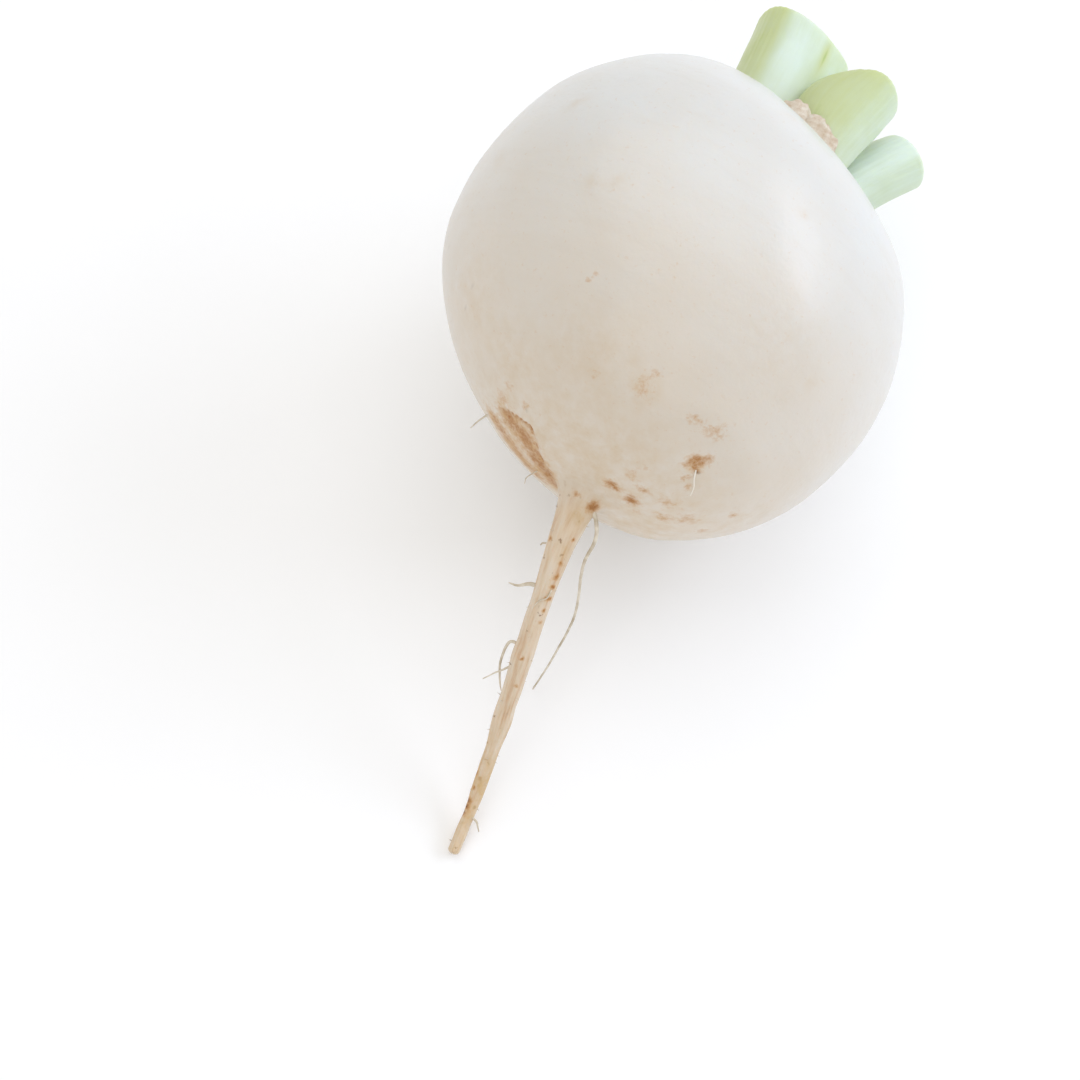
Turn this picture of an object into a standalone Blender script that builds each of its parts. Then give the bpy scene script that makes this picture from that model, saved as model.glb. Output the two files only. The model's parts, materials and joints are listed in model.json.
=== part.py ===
"""A white salad turnip lying on its side, with its taproot, side roots and cut leaf stalks.

Metres, +Z up. The turnip lies along Y, its crown towards +Y and its taproot towards -Y.
The origin is the middle of the small flat spot on which the bulb rests.
"""
import math

import bmesh
import bpy
import numpy as np
from mathutils import Vector
from mathutils.bvhtree import BVHTree

MM = 0.001

# Bulb: a turned globe, drawn about its own axis and then bent a little sideways.
BULB_RADIUS = 39.6 * MM
BULB_HALF_LENGTH = 39.0 * MM
BULB_LIFT = 39.0 * MM            # height of the bulb centre over the surface; the flat spot is cut at z = 0
BULB_BEND = 3.4 * MM             # sideways offset of crown and neck from the bulb's middle
CROWN_RADIUS = 16.0 * MM         # flat top that carries the leaf stalks
CROWN_HEIGHT = 35.0 * MM
TURNED_STEPS = 44

# Taproot: radius along its length, measured from the neck.
NECK_RADIUS = 6.2 * MM
TAPROOT_RADII = [(0.0, 5.0), (1.2, 3.9), (3.2, 3.1), (6.5, 2.6), (12.0, 2.1), (20.0, 1.7), (28.0, 1.85),
                 (36.0, 1.65), (41.0, 1.7), (47.0, 1.35), (58.0, 1.1), (65.0, 1.03)]   # (mm along, mm radius)
TAPROOT_START = Vector((3.5, -39.5, 39.0)) * MM   # at the neck
TAPROOT_END = Vector((11.5, -96.0, 1.5)) * MM     # just over the surface
TIP_ROUNDING = 0.8 * MM

GAP = 0.5 * MM                   # clearance between pieces that touch on the real plant

# Leaf stalks, cut short. Each leaves the crown at a foot (x, z) and ends at a tip (x, y, z), in mm.
# Its section is a kidney: "left" and "right" are its half widths and "depth" its thickness, each given
# at the foot, halfway and at the tip, and "curl" is how far its edges bend away from its outer side.
# "cut" and "skew" slant the cut end: how far its outer side and its right side reach ahead, mm per mm.
STALKS = {
    "leaf_stalk_1": dict(foot=(-7.5, 45.0), tip=(-10.0, 55.0, 44.5), outer=(-0.30, 0.0, 0.95), curl=0.42,
                         left=(6.8, 6.5, 6.4), right=(10.5, 11.8, 12.0), depth=(5.6, 5.4, 5.2),
                         cut=0.35, skew=-0.18),
    "leaf_stalk_2": dict(foot=(8.0, 49.0), tip=(11.0, 48.5, 48.5), outer=(0.10, 0.0, 1.0), curl=0.16,
                         left=(3.6, 9.6, 5.3), right=(5.0, 5.2, 5.0), depth=(6.4, 6.8, 7.6),
                         cut=0.35, skew=0.0),
    "leaf_stalk_3": dict(foot=(13.0, 41.0), tip=(20.5, 44.0, 39.5), outer=(0.10, 0.0, 1.0), curl=0.10,
                         left=(5.4, 5.9, 5.7), right=(5.0, 5.1, 5.0), depth=(6.4, 7.0, 7.6),
                         cut=0.2, skew=0.15),
    "leaf_stalk_4": dict(foot=(10.5, 29.0), tip=(12.5, 41.5, 25.5), outer=(0.3, 0.0, -1.0), curl=0.2,
                         left=(6.0, 5.2, 4.6), right=(6.0, 5.2, 4.6), depth=(5.0, 5.4, 6.0),
                         cut=0.2, skew=0.0),
    "leaf_stalk_5": dict(foot=(-4.5, 31.0), tip=(-6.5, 42.5, 27.5), outer=(-0.7, 0.0, -0.7), curl=0.2,
                         left=(5.4, 4.8, 4.4), right=(5.4, 4.8, 4.4), depth=(5.0, 5.2, 5.6),
                         cut=0.2, skew=0.0),
    "crown_bud": dict(foot=(8.2, 36.2), tip=(8.0, 36.5, 36.8), outer=(0.0, 0.0, 1.0), curl=0.0,
                      left=(2.6, 2.2, 1.4), right=(2.6, 2.2, 1.4), depth=(4.4, 3.8, 2.4),
                      cut=0.0, skew=0.0),
}
STALK_SIDES = 20
STALK_RINGS = 9

# Dried bases of leaves that have already fallen: (x, z) on the crown, half width, half height, rise; mm.
OLD_LEAF_BASES = {
    "old_leaf_base_1": (1.6, 52.6, 2.7, 1.7, 3.6),
    "old_leaf_base_2": (7.4, 54.3, 2.5, 1.3, 2.6),
}

# Side roots: points (mm) along each, and its radius (mm) at the start and at the end.
SIDE_ROOTS = {
    "side_root_long": ([(8, -42, 38.5), (9, -44, 35), (8.5, -47, 29), (10, -52, 18), (9, -58, 7), (8, -63, 1)],
                       0.45, 0.17),
    "side_root_spike": ([(3, -55.5, 32.5), (1.5, -57, 33), (0, -57.5, 33.5)], 0.42, 0.16),
    "side_root_fork": ([(4, -64, 24.5), (4, -67, 21.5), (5, -69, 18), (5.5, -69.5, 14.5)], 0.32, 0.14),
    "side_root_tip": ([(12.5, -89.5, 3.5), (13, -90, 3), (13.5, -90.5, 2)], 0.25, 0.13),
}
SIDE_ROOT_SPACING = 1.1 * MM

def smooth_route(points, samples):
    """Points evenly spaced by parameter on the Catmull-Rom curve through the given ones."""
    given = [Vector(p) for p in points]
    padded = [2 * given[0] - given[1], *given, 2 * given[-1] - given[-2]]
    route = []
    for i in range(samples):
        along = i / (samples - 1) * (len(given) - 1)
        k = min(int(along), len(given) - 2)
        t = along - k
        a, b, c, d = padded[k:k + 4]
        route.append(0.5 * (2 * b + (c - a) * t + (2 * a - 5 * b + 4 * c - d) * t * t
                            + (3 * b - a - 3 * c + d) * t ** 3))
    return route


def lengths_along(route):
    """Distance of each point of the route from its start."""
    steps = [(b - a).length for a, b in zip(route, route[1:])]
    return np.concatenate([[0.0], np.cumsum(steps)])


def arrays(mesh):
    """A mesh's points as a numpy array with one row for each vertex."""
    points = np.empty(len(mesh.vertices) * 3)
    mesh.vertices.foreach_get("co", points)
    return points.reshape(-1, 3)


def plain_material(name, colour, roughness):
    material = bpy.data.materials.new(name)
    material.use_nodes = True
    shader = material.node_tree.nodes["Principled BSDF"]
    shader.inputs["Base Color"].default_value = (*colour, 1.0)
    shader.inputs["Roughness"].default_value = roughness
    shader.inputs["Metallic"].default_value = 0.0
    return material


def add_object(name, data, material, home):
    piece = bpy.data.objects.new(name, data)
    home.objects.link(piece)
    data.materials.append(material)
    return piece


# ---------------------------------------------------------------- bulb and taproot

def taproot_route(samples):
    """The taproot's middle line: level at the neck and at the surface, falling evenly between."""
    route = []
    for i in range(samples):
        share = i / (samples - 1)
        point = TAPROOT_START.lerp(TAPROOT_END, share)
        fall = (1 - math.cos(math.pi * share)) / 2
        point.z = TAPROOT_START.z + (TAPROOT_END.z - TAPROOT_START.z) * fall
        route.append(point)
    return route


def turned_profile():
    """(radius, height) points from the middle of the crown down the outside to the taproot's tip."""
    profile = [(0.0, CROWN_HEIGHT), (CROWN_RADIUS * 0.5, CROWN_HEIGHT)]
    first = math.asin(CROWN_RADIUS / BULB_RADIUS) + math.radians(2)
    last = math.pi - math.asin(NECK_RADIUS / BULB_RADIUS)
    rings = 26
    for i in range(rings):
        polar = first + (last - first) * i / (rings - 1)
        height = BULB_HALF_LENGTH * math.cos(polar)
        profile.append((BULB_RADIUS * math.sin(polar), min(height, CROWN_HEIGHT)))
    along, radii = (np.array(column) * MM for column in zip(*TAPROOT_RADII))
    for s in np.concatenate([along[:4], np.linspace(along[4], along[-1] - TIP_ROUNDING, 22)]):
        profile.append((float(np.interp(s, along, radii)), -BULB_HALF_LENGTH - float(s)))
    profile.append((float(radii[-1]) * 0.75, -BULB_HALF_LENGTH - float(along[-1]) + 0.2 * TIP_ROUNDING))
    profile.append((0.0, -BULB_HALF_LENGTH - float(along[-1])))
    return profile


# Swellings (+) and hollows (-) of the globe: direction, reach in degrees, height in mm.
GLOBE_SWELLS = [
    ((0.25, 0.95, 0.1), 30, -7.5),    # the sunken crown
    ((-0.6, 0.75, 0.35), 40, 5.0),    # the full shoulder beside it
    ((-0.95, -0.3, 0.1), 40, 2.5),    # the flank on that side
    ((0.9, 0.4, 0.0), 25, -1.0),      # the flatter flank opposite
    ((0.25, -0.9, -0.35), 35, 1.0),   # below the neck
]


def swell(points):
    """Points of the globe, about its centre, moved in or out by its swellings and hollows."""
    distance = np.linalg.norm(points, axis=1)
    heading = points / distance[:, None]
    grown = np.zeros(len(points))
    for direction, reach, height in GLOBE_SWELLS:
        aim = np.array(direction) / np.linalg.norm(direction)
        angle = np.degrees(np.arccos(np.clip(heading @ aim, -1, 1)))
        grown += height * MM * np.exp(-((angle / reach) ** 2))
    return heading * (distance + grown)[:, None]


def bend_and_lift(points):
    """Points about the globe's centre, bent towards +X at both ends and lifted to where they rest."""
    bent = points.copy()
    bent[:, 0] += BULB_BEND * (points[:, 1] / BULB_HALF_LENGTH) ** 2
    bent[:, 2] += BULB_LIFT
    return bent


def shaped(turned):
    """The turned points (axis on Z, crown up) laid along Y, bent to shape and rested on z = 0."""
    along = -BULB_HALF_LENGTH - turned[:, 2]
    on_root = along > -1e-9
    laid = np.column_stack([turned[:, 0], turned[:, 2], -turned[:, 1]])
    placed = np.empty_like(laid)
    placed[~on_root] = bend_and_lift(swell(laid[~on_root]))

    route = taproot_route(200)
    distances = lengths_along(route)
    path = np.array(route)
    share = along[on_root] / along.max() * distances[-1]
    tangents = np.gradient(path, distances, axis=0)
    centre = np.column_stack([np.interp(share, distances, path[:, k]) for k in range(3)])
    ahead = np.column_stack([np.interp(share, distances, tangents[:, k]) for k in range(3)])
    ahead /= np.linalg.norm(ahead, axis=1)[:, None]
    above = np.cross(ahead, np.array([1.0, 0.0, 0.0]))
    above /= np.linalg.norm(above, axis=1)[:, None]
    side = np.cross(above, ahead)
    offset = laid[on_root]
    placed[on_root] = centre + side * offset[:, :1] + above * offset[:, 2:]
    placed[:, 2] = np.maximum(placed[:, 2], 0.0)
    return placed


def bulb_and_taproot(material, home):
    """The whole grown body: the turned outline swept round, then bent to its real shape."""
    outline = bpy.data.meshes.new("turned_outline")
    profile = [(radius, 0.0, height) for radius, height in turned_profile()]
    outline.from_pydata(profile, [(i, i + 1) for i in range(len(profile) - 1)], [])
    turned = bpy.data.objects.new("turned_outline", outline)
    home.objects.link(turned)
    screw = turned.modifiers.new("turn", "SCREW")
    screw.steps = TURNED_STEPS
    screw.render_steps = TURNED_STEPS
    screw.use_merge_vertices = True
    screw.merge_threshold = 1e-5

    bpy.context.view_layer.update()
    graph = bpy.context.evaluated_depsgraph_get()
    mesh = bpy.data.meshes.new_from_object(turned.evaluated_get(graph))
    bpy.data.objects.remove(turned)
    mesh.vertices.foreach_set("co", shaped(arrays(mesh)).ravel())
    mesh.shade_smooth()
    return add_object("bulb_and_taproot", mesh, material, home)


# ---------------------------------------------------------------- leaf stalks and old leaf bases

def crown_height(surface, x, z):
    """How far along Y the bulb's crown reaches at (x, z)."""
    hit = surface.ray_cast(Vector((x, 80 * MM, z)), Vector((0, -1, 0)))[0]
    return hit.y if hit else 20 * MM

def between(values, t):
    """The parabola through three values, given at t = 0, a half and 1."""
    first, middle, last = values
    return first + t * (4 * middle - 3 * first - last) + t * t * (2 * first - 4 * middle + 2 * last)

def stalk_section(left, right, depth, curl):
    """The outline of a stalk across its length: a full outer side and a hollowed inner side."""
    outline = []
    for i in range(STALK_SIDES):
        turn = math.tau * i / STALK_SIDES
        across, outward = math.cos(turn), math.sin(turn)
        half_width = right if across > 0 else left
        bulge = 0.62 if outward > 0 else 0.38
        channel = 0.10 * (1 - across ** 2) if outward < 0 else 0.0
        sag = curl * half_width * across ** 2
        outline.append((across * half_width, depth * (bulge * outward + channel) - sag))
    return outline

def leaf_stalk(name, spec, surface, material, home):
    foot_x, foot_z = (value * MM for value in spec["foot"])
    foot = Vector((foot_x, crown_height(surface, foot_x, foot_z) + GAP, foot_z))
    tip = Vector(spec["tip"]) * MM
    middle = (foot + tip) / 2 + Vector((0, 0.12 * (tip - foot).length, 0))
    outer = Vector(spec["outer"])

    bm = bmesh.new()
    rings = []
    for k in range(STALK_RINGS):
        t = k / (STALK_RINGS - 1)
        centre = foot * (1 - t) ** 2 + middle * 2 * t * (1 - t) + tip * t * t
        ahead = ((middle - foot) * (1 - t) + (tip - middle) * t).normalized()
        out = (outer - ahead * outer.dot(ahead)).normalized()
        across = ahead.cross(out)
        left, right, depth = (between(spec[part], t) * MM for part in ("left", "right", "depth"))
        ring = []
        for x, y in stalk_section(left, right, depth, spec["curl"]):
            point = centre + across * x + out * y + ahead * t * (spec["cut"] * y + spec["skew"] * x)
            clear = crown_height(surface, point.x, point.z) + GAP * (1 + k)
            point.y = clear if k == 0 else max(point.y, clear)
            ring.append(bm.verts.new(point))
        rings.append(ring)
    for lower, upper in zip(rings, rings[1:]):
        for i in range(STALK_SIDES):
            j = (i + 1) % STALK_SIDES
            bm.faces.new((lower[i], lower[j], upper[j], upper[i]))
    bm.faces.new(rings[0][::-1])
    bm.faces.new(rings[-1])
    bmesh.ops.triangulate(bm, faces=[face for face in bm.faces if len(face.verts) > 4])
    bmesh.ops.recalc_face_normals(bm, faces=bm.faces)
    mesh = bpy.data.meshes.new(name)
    bm.to_mesh(mesh)
    bm.free()
    mesh.shade_smooth()
    mesh.set_sharp_from_angle(angle=math.radians(50))
    return add_object(name, mesh, material, home)

def old_leaf_base(name, spec, surface, material, home):
    """A dry rounded scale that sits on the crown."""
    x, z, half_width, half_height, rise = (value * MM for value in spec)
    bm = bmesh.new()
    bmesh.ops.create_uvsphere(bm, u_segments=14, v_segments=8, radius=1.0)
    for vert in bm.verts:
        across, up, out = vert.co
        place = (x + half_width * across, z - half_height * up)
        above = rise * out ** 1.3 + 0.3 * MM if out > 0 else 0.3 * MM * (1 + out)
        vert.co = (place[0], crown_height(surface, *place) + GAP + above, place[1])
    mesh = bpy.data.meshes.new(name)
    bm.to_mesh(mesh)
    bm.free()
    mesh.shade_smooth()
    return add_object(name, mesh, material, home)

# ---------------------------------------------------------------- side roots

def side_root(name, spec, material, home):
    points, start_radius, end_radius = spec
    rough = smooth_route([Vector(p) * MM for p in points], 60)
    length = lengths_along(rough)[-1]
    route = smooth_route([Vector(p) * MM for p in points], max(5, round(length / SIDE_ROOT_SPACING)))
    curve = bpy.data.curves.new(name, "CURVE")
    curve.dimensions = "3D"
    curve.bevel_depth = MM
    curve.bevel_resolution = 2
    curve.use_fill_caps = True
    spline = curve.splines.new("POLY")
    spline.points.add(len(route) - 1)
    for i, point in enumerate(route):
        share = i / (len(route) - 1)
        spline.points[i].co = (*point, 1.0)
        spline.points[i].radius = start_radius + (end_radius - start_radius) * share
    return add_object(name, curve, material, home)

def main():
    for leftover in list(bpy.data.objects):
        bpy.data.objects.remove(leftover)
    home = bpy.data.collections.new("turnip")
    bpy.context.scene.collection.children.link(home)
    skin = plain_material("turnip_skin", (0.80, 0.76, 0.68), 0.45)
    root_skin = plain_material("side_root_skin", (0.62, 0.48, 0.30), 0.7)
    stalk_green = plain_material("stalk_green", (0.58, 0.68, 0.42), 0.4)
    dry_leaf = plain_material("dry_leaf_base", (0.55, 0.45, 0.32), 0.8)

    bulb = bulb_and_taproot(skin, home)
    surface = BVHTree.FromPolygons([vertex.co for vertex in bulb.data.vertices],
                                   [face.vertices for face in bulb.data.polygons])
    for name, spec in STALKS.items():
        leaf_stalk(name, spec, surface, stalk_green, home)
    for name, spec in OLD_LEAF_BASES.items():
        old_leaf_base(name, spec, surface, dry_leaf, home)
    for name, spec in SIDE_ROOTS.items():
        side_root(name, spec, root_skin, home)

main()
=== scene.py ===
# %% [markdown]
# # A white salad turnip
#
# A salad turnip is a swollen root with a thin white skin. It is harvested with its thin taproot, and its
# leaves are trimmed to short stalks. This one lies on its side. The lesson builds its body, its stalks and
# its finest roots over the plain construction model, and gives each a finish made only of nodes.
# Everything is in metres, with +Z up, the crown towards +Y and the taproot towards -Y.

# %% Load the frame
import json
import math

import bmesh
import bpy
import numpy as np
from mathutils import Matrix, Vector, noise
from mathutils.bvhtree import BVHTree

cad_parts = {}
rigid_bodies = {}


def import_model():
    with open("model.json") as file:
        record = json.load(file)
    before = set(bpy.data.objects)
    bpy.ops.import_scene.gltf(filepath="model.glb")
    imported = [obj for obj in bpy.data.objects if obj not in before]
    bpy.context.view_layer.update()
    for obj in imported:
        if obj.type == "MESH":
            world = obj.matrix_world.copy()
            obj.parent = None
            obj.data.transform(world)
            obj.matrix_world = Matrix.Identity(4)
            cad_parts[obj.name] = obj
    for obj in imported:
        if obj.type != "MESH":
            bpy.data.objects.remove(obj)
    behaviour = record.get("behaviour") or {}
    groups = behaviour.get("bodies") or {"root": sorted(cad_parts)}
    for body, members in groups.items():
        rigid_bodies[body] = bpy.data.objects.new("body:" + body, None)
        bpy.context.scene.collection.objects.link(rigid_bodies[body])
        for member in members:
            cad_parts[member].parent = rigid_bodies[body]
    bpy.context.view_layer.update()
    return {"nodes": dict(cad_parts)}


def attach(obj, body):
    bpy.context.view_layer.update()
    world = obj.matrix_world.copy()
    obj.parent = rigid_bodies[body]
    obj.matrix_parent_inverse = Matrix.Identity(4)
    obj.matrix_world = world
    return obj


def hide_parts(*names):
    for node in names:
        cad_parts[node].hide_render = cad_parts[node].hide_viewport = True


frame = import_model()

# %% [markdown]
# ## Units, colours and nodes
#
# Real sizes are written in millimetres. Colours are written as the sRGB hex values that a colour picker
# shows, and one function turns them into the linear values that a shader needs. Materials are made of
# nodes, and one small function adds a node, sets its sockets and links it.

# %% Units, colours and nodes
MM = 0.001


def linear(hex_colour):
    """The linear RGBA of an sRGB hex colour."""
    channels = [int(hex_colour[i:i + 2], 16) / 255 for i in (1, 3, 5)]
    return (*(c / 12.92 if c <= 0.04045 else ((c + 0.055) / 1.055) ** 2.4 for c in channels), 1.0)


def per_metre(size_mm):
    """The texture scale whose pattern repeats about every size_mm."""
    return 1000.0 / size_mm


def add_node(tree, kind, inputs=None, **settings):
    """Adds a node. In inputs, an output socket is linked to the named socket, and a value is set on it."""
    node = tree.nodes.new(kind)
    for key, value in settings.items():
        setattr(node, key, value)
    for key, value in (inputs or {}).items():
        if isinstance(value, bpy.types.NodeSocket):
            tree.links.new(value, node.inputs[key])
        else:
            node.inputs[key].default_value = value
    return node


def new_material(name):
    """An empty node material: its tree, and its Principled shader already linked to the output."""
    material = bpy.data.materials.new(name)
    material.use_nodes = True
    return material, material.node_tree, material.node_tree.nodes["Principled BSDF"]


# %% [markdown]
# ## Camera
#
# The turnip is seen from above, as a cook sees it on the table: 70 degrees above the horizon, turned 31
# degrees round it. A long lens from half a metre keeps the bulb from looking swollen. The camera aims
# beside the taproot, so the bulb sits high in the picture and the root's tip still shows.

# %% Camera
AZIMUTH = math.radians(31)
ELEVATION = math.radians(70)
CAMERA_DISTANCE = 520 * MM
AIM = Vector((-1.0, -45.5, 25.0)) * MM

towards_camera = Vector((math.sin(AZIMUTH) * math.cos(ELEVATION),
                         -math.cos(AZIMUTH) * math.cos(ELEVATION), math.sin(ELEVATION)))
camera = bpy.data.objects.new("camera", bpy.data.cameras.new("camera"))
camera.data.lens = 100
camera.data.sensor_width = 36
camera.data.clip_start = 0.01
camera.location = AIM + towards_camera * CAMERA_DISTANCE
camera.rotation_euler = towards_camera.to_track_quat("Z", "Y").to_euler()
bpy.context.scene.collection.objects.link(camera)
bpy.context.scene.camera = camera
print("camera at", [round(v, 3) for v in camera.location])

# %% [markdown]
# ## The body's form
#
# Bulb and taproot grew as one piece, so they are one mesh. It could be sculpted, but a turned profile
# that is bent afterwards follows how the root grows: round about its axis, then pushed out of true by
# the soil. The profile runs from the middle of the crown over the shoulder to the neck, and on down the
# taproot. Swellings and hollows then move the globe's surface in or out about a direction.

# %% Driving sizes of the body
BULB_RADIUS = 39.6 * MM
BULB_HALF_LENGTH = 39.0 * MM
BULB_LIFT = 39.0 * MM
BULB_BEND = 3.4 * MM
CROWN_RADIUS = 16.0 * MM
CROWN_HEIGHT = 35.0 * MM
NECK_RADIUS = 6.2 * MM
TAPROOT_RADII = [(0.0, 5.0), (1.2, 3.9), (3.2, 3.1), (6.5, 2.6), (12.0, 2.1), (20.0, 1.7), (28.0, 1.85),
                 (36.0, 1.65), (41.0, 1.7), (47.0, 1.35), (58.0, 1.1), (65.0, 1.03)]
TAPROOT_START = Vector((3.5, -39.5, 39.0)) * MM
TAPROOT_END = Vector((11.5, -96.0, 1.5)) * MM

# Swellings (+) and hollows (-) of the globe: direction, reach in degrees, height in mm.
GLOBE_SWELLS = [
    ((0.25, 0.95, 0.1), 30, -7.5),    # the sunken crown
    ((-0.6, 0.75, 0.35), 40, 5.0),    # the full shoulder beside it
    ((-0.95, -0.3, 0.1), 40, 2.5),    # the flank on that side
    ((0.9, 0.4, 0.0), 25, -1.0),      # the flatter flank opposite
    ((0.25, -0.9, -0.35), 35, 1.0),   # below the neck
]

# %% Curves and paths
def smooth_route(points, samples):
    """Points evenly spaced by parameter on the Catmull-Rom curve through the given ones."""
    given = np.array(points, dtype=float)
    padded = np.vstack([2 * given[0] - given[1], given, 2 * given[-1] - given[-2]])
    along = np.linspace(0, len(given) - 1, samples)
    k = np.minimum(along.astype(int), len(given) - 2)
    t = (along - k)[:, None]
    a, b, c, d = (padded[k + i] for i in range(4))
    return 0.5 * (2 * b + (c - a) * t + (2 * a - 5 * b + 4 * c - d) * t ** 2
                  + (3 * b - a - 3 * c + d) * t ** 3)


def lengths_along(route):
    """Distance of each point of the route from its start."""
    steps = np.linalg.norm(np.diff(route, axis=0), axis=1)
    return np.concatenate([[0.0], np.cumsum(steps)])


def smooth_step(value, low, high):
    """0 below low, 1 above high, and an even rise between."""
    share = np.clip((value - low) / (high - low), 0, 1)
    return share * share * (3 - 2 * share)


def distance_to_path(points, path_mm):
    """Distance of each point from a path of straight pieces, given in mm."""
    path = np.array(path_mm) * MM
    nearest = np.full(len(points), np.inf)
    for start, end in zip(path, path[1:]):
        piece = end - start
        share = np.clip((points - start) @ piece / (piece @ piece), 0, 1)
        nearest = np.minimum(nearest, np.linalg.norm(points - start - share[:, None] * piece, axis=1))
    return nearest


def rough(points, size_mm, seed=0):
    """Smooth random values from -1 to 1 that vary over about size_mm."""
    shift = Vector((seed * 17.3, seed * 5.1, seed * 9.7))
    return np.array([noise.noise(Vector(p) / (size_mm * MM) + shift) for p in points])


# %% Place the turned profile
def on_bulb(turned):
    """Turned points (radius, along, angle) on the bulb, laid along Y, swollen, bent and lifted."""
    radius, along, angle = turned
    points = np.column_stack([radius * np.cos(angle), -BULB_HALF_LENGTH - along, radius * np.sin(angle)])
    distance = np.linalg.norm(points, axis=1)
    heading = points / distance[:, None]
    grown = np.zeros(len(points))
    for direction, reach, height in GLOBE_SWELLS:
        aim = np.array(direction) / np.linalg.norm(direction)
        off_aim = np.degrees(np.arccos(np.clip(heading @ aim, -1, 1)))
        grown += height * MM * np.exp(-((off_aim / reach) ** 2))
    points = heading * (distance + grown)[:, None]
    points[:, 0] += BULB_BEND * (points[:, 1] / BULB_HALF_LENGTH) ** 2
    points[:, 2] += BULB_LIFT
    return points


def taproot_route(samples):
    """The taproot's middle line: level at the neck and at the table, falling evenly between."""
    share = np.linspace(0, 1, samples)[:, None]
    route = np.array(TAPROOT_START) * (1 - share) + np.array(TAPROOT_END) * share
    fall = (1 - np.cos(math.pi * share[:, 0])) / 2
    route[:, 2] = TAPROOT_START.z + (TAPROOT_END.z - TAPROOT_START.z) * fall
    return route


def on_taproot(turned):
    """Turned points (radius, along, angle) about the taproot's own bent route."""
    radius, along, angle = turned
    route = taproot_route(400)
    distances = lengths_along(route)
    share = along * distances[-1] / (TAPROOT_RADII[-1][0] * MM)
    heading = np.gradient(route, distances, axis=0)
    ahead = np.column_stack([np.interp(share, distances, heading[:, k]) for k in range(3)])
    ahead /= np.linalg.norm(ahead, axis=1)[:, None]
    centre = np.column_stack([np.interp(share, distances, route[:, k]) for k in range(3)])
    centre += ahead * np.minimum(share, 0)[:, None]
    above = np.cross(ahead, (1.0, 0.0, 0.0))
    above /= np.linalg.norm(above, axis=1)[:, None]
    side = np.cross(above, ahead)
    return centre + side * (radius * np.cos(angle))[:, None] + above * (radius * np.sin(angle))[:, None]


# %% [markdown]
# ## The body's mesh
#
# The rings of the bulb need many points round, and those of the thin taproot far fewer. One band at the
# neck joins three edges of a bulb ring to one edge of a root ring, so that no ring is wasted and the
# skin stays closed. Between the two ways of placing a ring, the points blend over a few millimetres,
# which gives the soft flare where the root leaves the bulb.

# %% Rings of the body
BULB_SIDES = 240
ROOT_SIDES = BULB_SIDES // 3
CROWN_RINGS = 22
BULB_RINGS = 176
ROOT_RINGS = 360
RIM_SOFTNESS = 1.2 * MM
NECK_BLEND = (-4.0 * MM, 3.0 * MM)


def bulb_rings():
    """(radius, along) of the bulb's rings, from the crown's middle to the neck; along is negative."""
    rim_angle = math.asin(CROWN_RADIUS / BULB_RADIUS)
    crown = [(CROWN_RADIUS * i / CROWN_RINGS, -BULB_HALF_LENGTH - CROWN_HEIGHT)
             for i in range(1, CROWN_RINGS)]
    polar = np.linspace(rim_angle, math.pi - math.asin(NECK_RADIUS / BULB_RADIUS), BULB_RINGS)
    height = BULB_HALF_LENGTH * np.cos(polar)
    low = np.minimum(height, CROWN_HEIGHT)
    near_rim = np.exp(-np.abs(height - CROWN_HEIGHT) / RIM_SOFTNESS)
    height = low - 0.35 * RIM_SOFTNESS * near_rim
    return crown + [(BULB_RADIUS * math.sin(p), -BULB_HALF_LENGTH - h) for p, h in zip(polar, height)]


def root_rings():
    """(radius, along) of the taproot's rings, from the neck to its blunt tip."""
    known = np.array([(-0.5, NECK_RADIUS / MM)] + TAPROOT_RADII) * MM
    fine = smooth_route(known, 600)
    length = TAPROOT_RADII[-1][0] * MM
    tip_radius = TAPROOT_RADII[-1][1] * MM
    rings = []
    for s in np.linspace(0, 1, ROOT_RINGS) ** 1.15 * (length - 0.6 * tip_radius):
        rings.append((float(np.interp(s, fine[:, 0], fine[:, 1])), float(s)))
    for turn in (20, 40, 60, 78):
        rings.append((tip_radius * math.cos(math.radians(turn)) ** 0.7,
                      length - 0.6 * tip_radius * (1 - math.sin(math.radians(turn)))))
    return rings


# %% Build the body
def turned_points(rings, sides):
    """The flat arrays radius, along and angle for all points of the rings."""
    angle = np.tile(np.arange(sides) * math.tau / sides, len(rings))
    radius, along = (np.repeat(np.array(column), sides) for column in zip(*rings))
    return radius, along, angle


def band(first, second, sides, faces):
    """Joins two rings of the same number of points with quads that face outwards."""
    for i in range(sides):
        j = (i + 1) % sides
        faces.append((first + i, first + j, second + j, second + i))


bulb_turned = turned_points(bulb_rings(), BULB_SIDES)
root_turned = turned_points(root_rings(), ROOT_SIDES)
turned = [np.concatenate([b, r]) for b, r in zip(bulb_turned, root_turned)]
turned = [np.concatenate([t, extra]) for t, extra in zip(turned, (
    (0.0, 0.0), (-BULB_HALF_LENGTH - CROWN_HEIGHT, TAPROOT_RADII[-1][0] * MM), (0.0, 0.0)))]
root_share = smooth_step(turned[1], *NECK_BLEND)
body_points = on_bulb(turned) * (1 - root_share)[:, None] + on_taproot(turned) * root_share[:, None]

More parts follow.
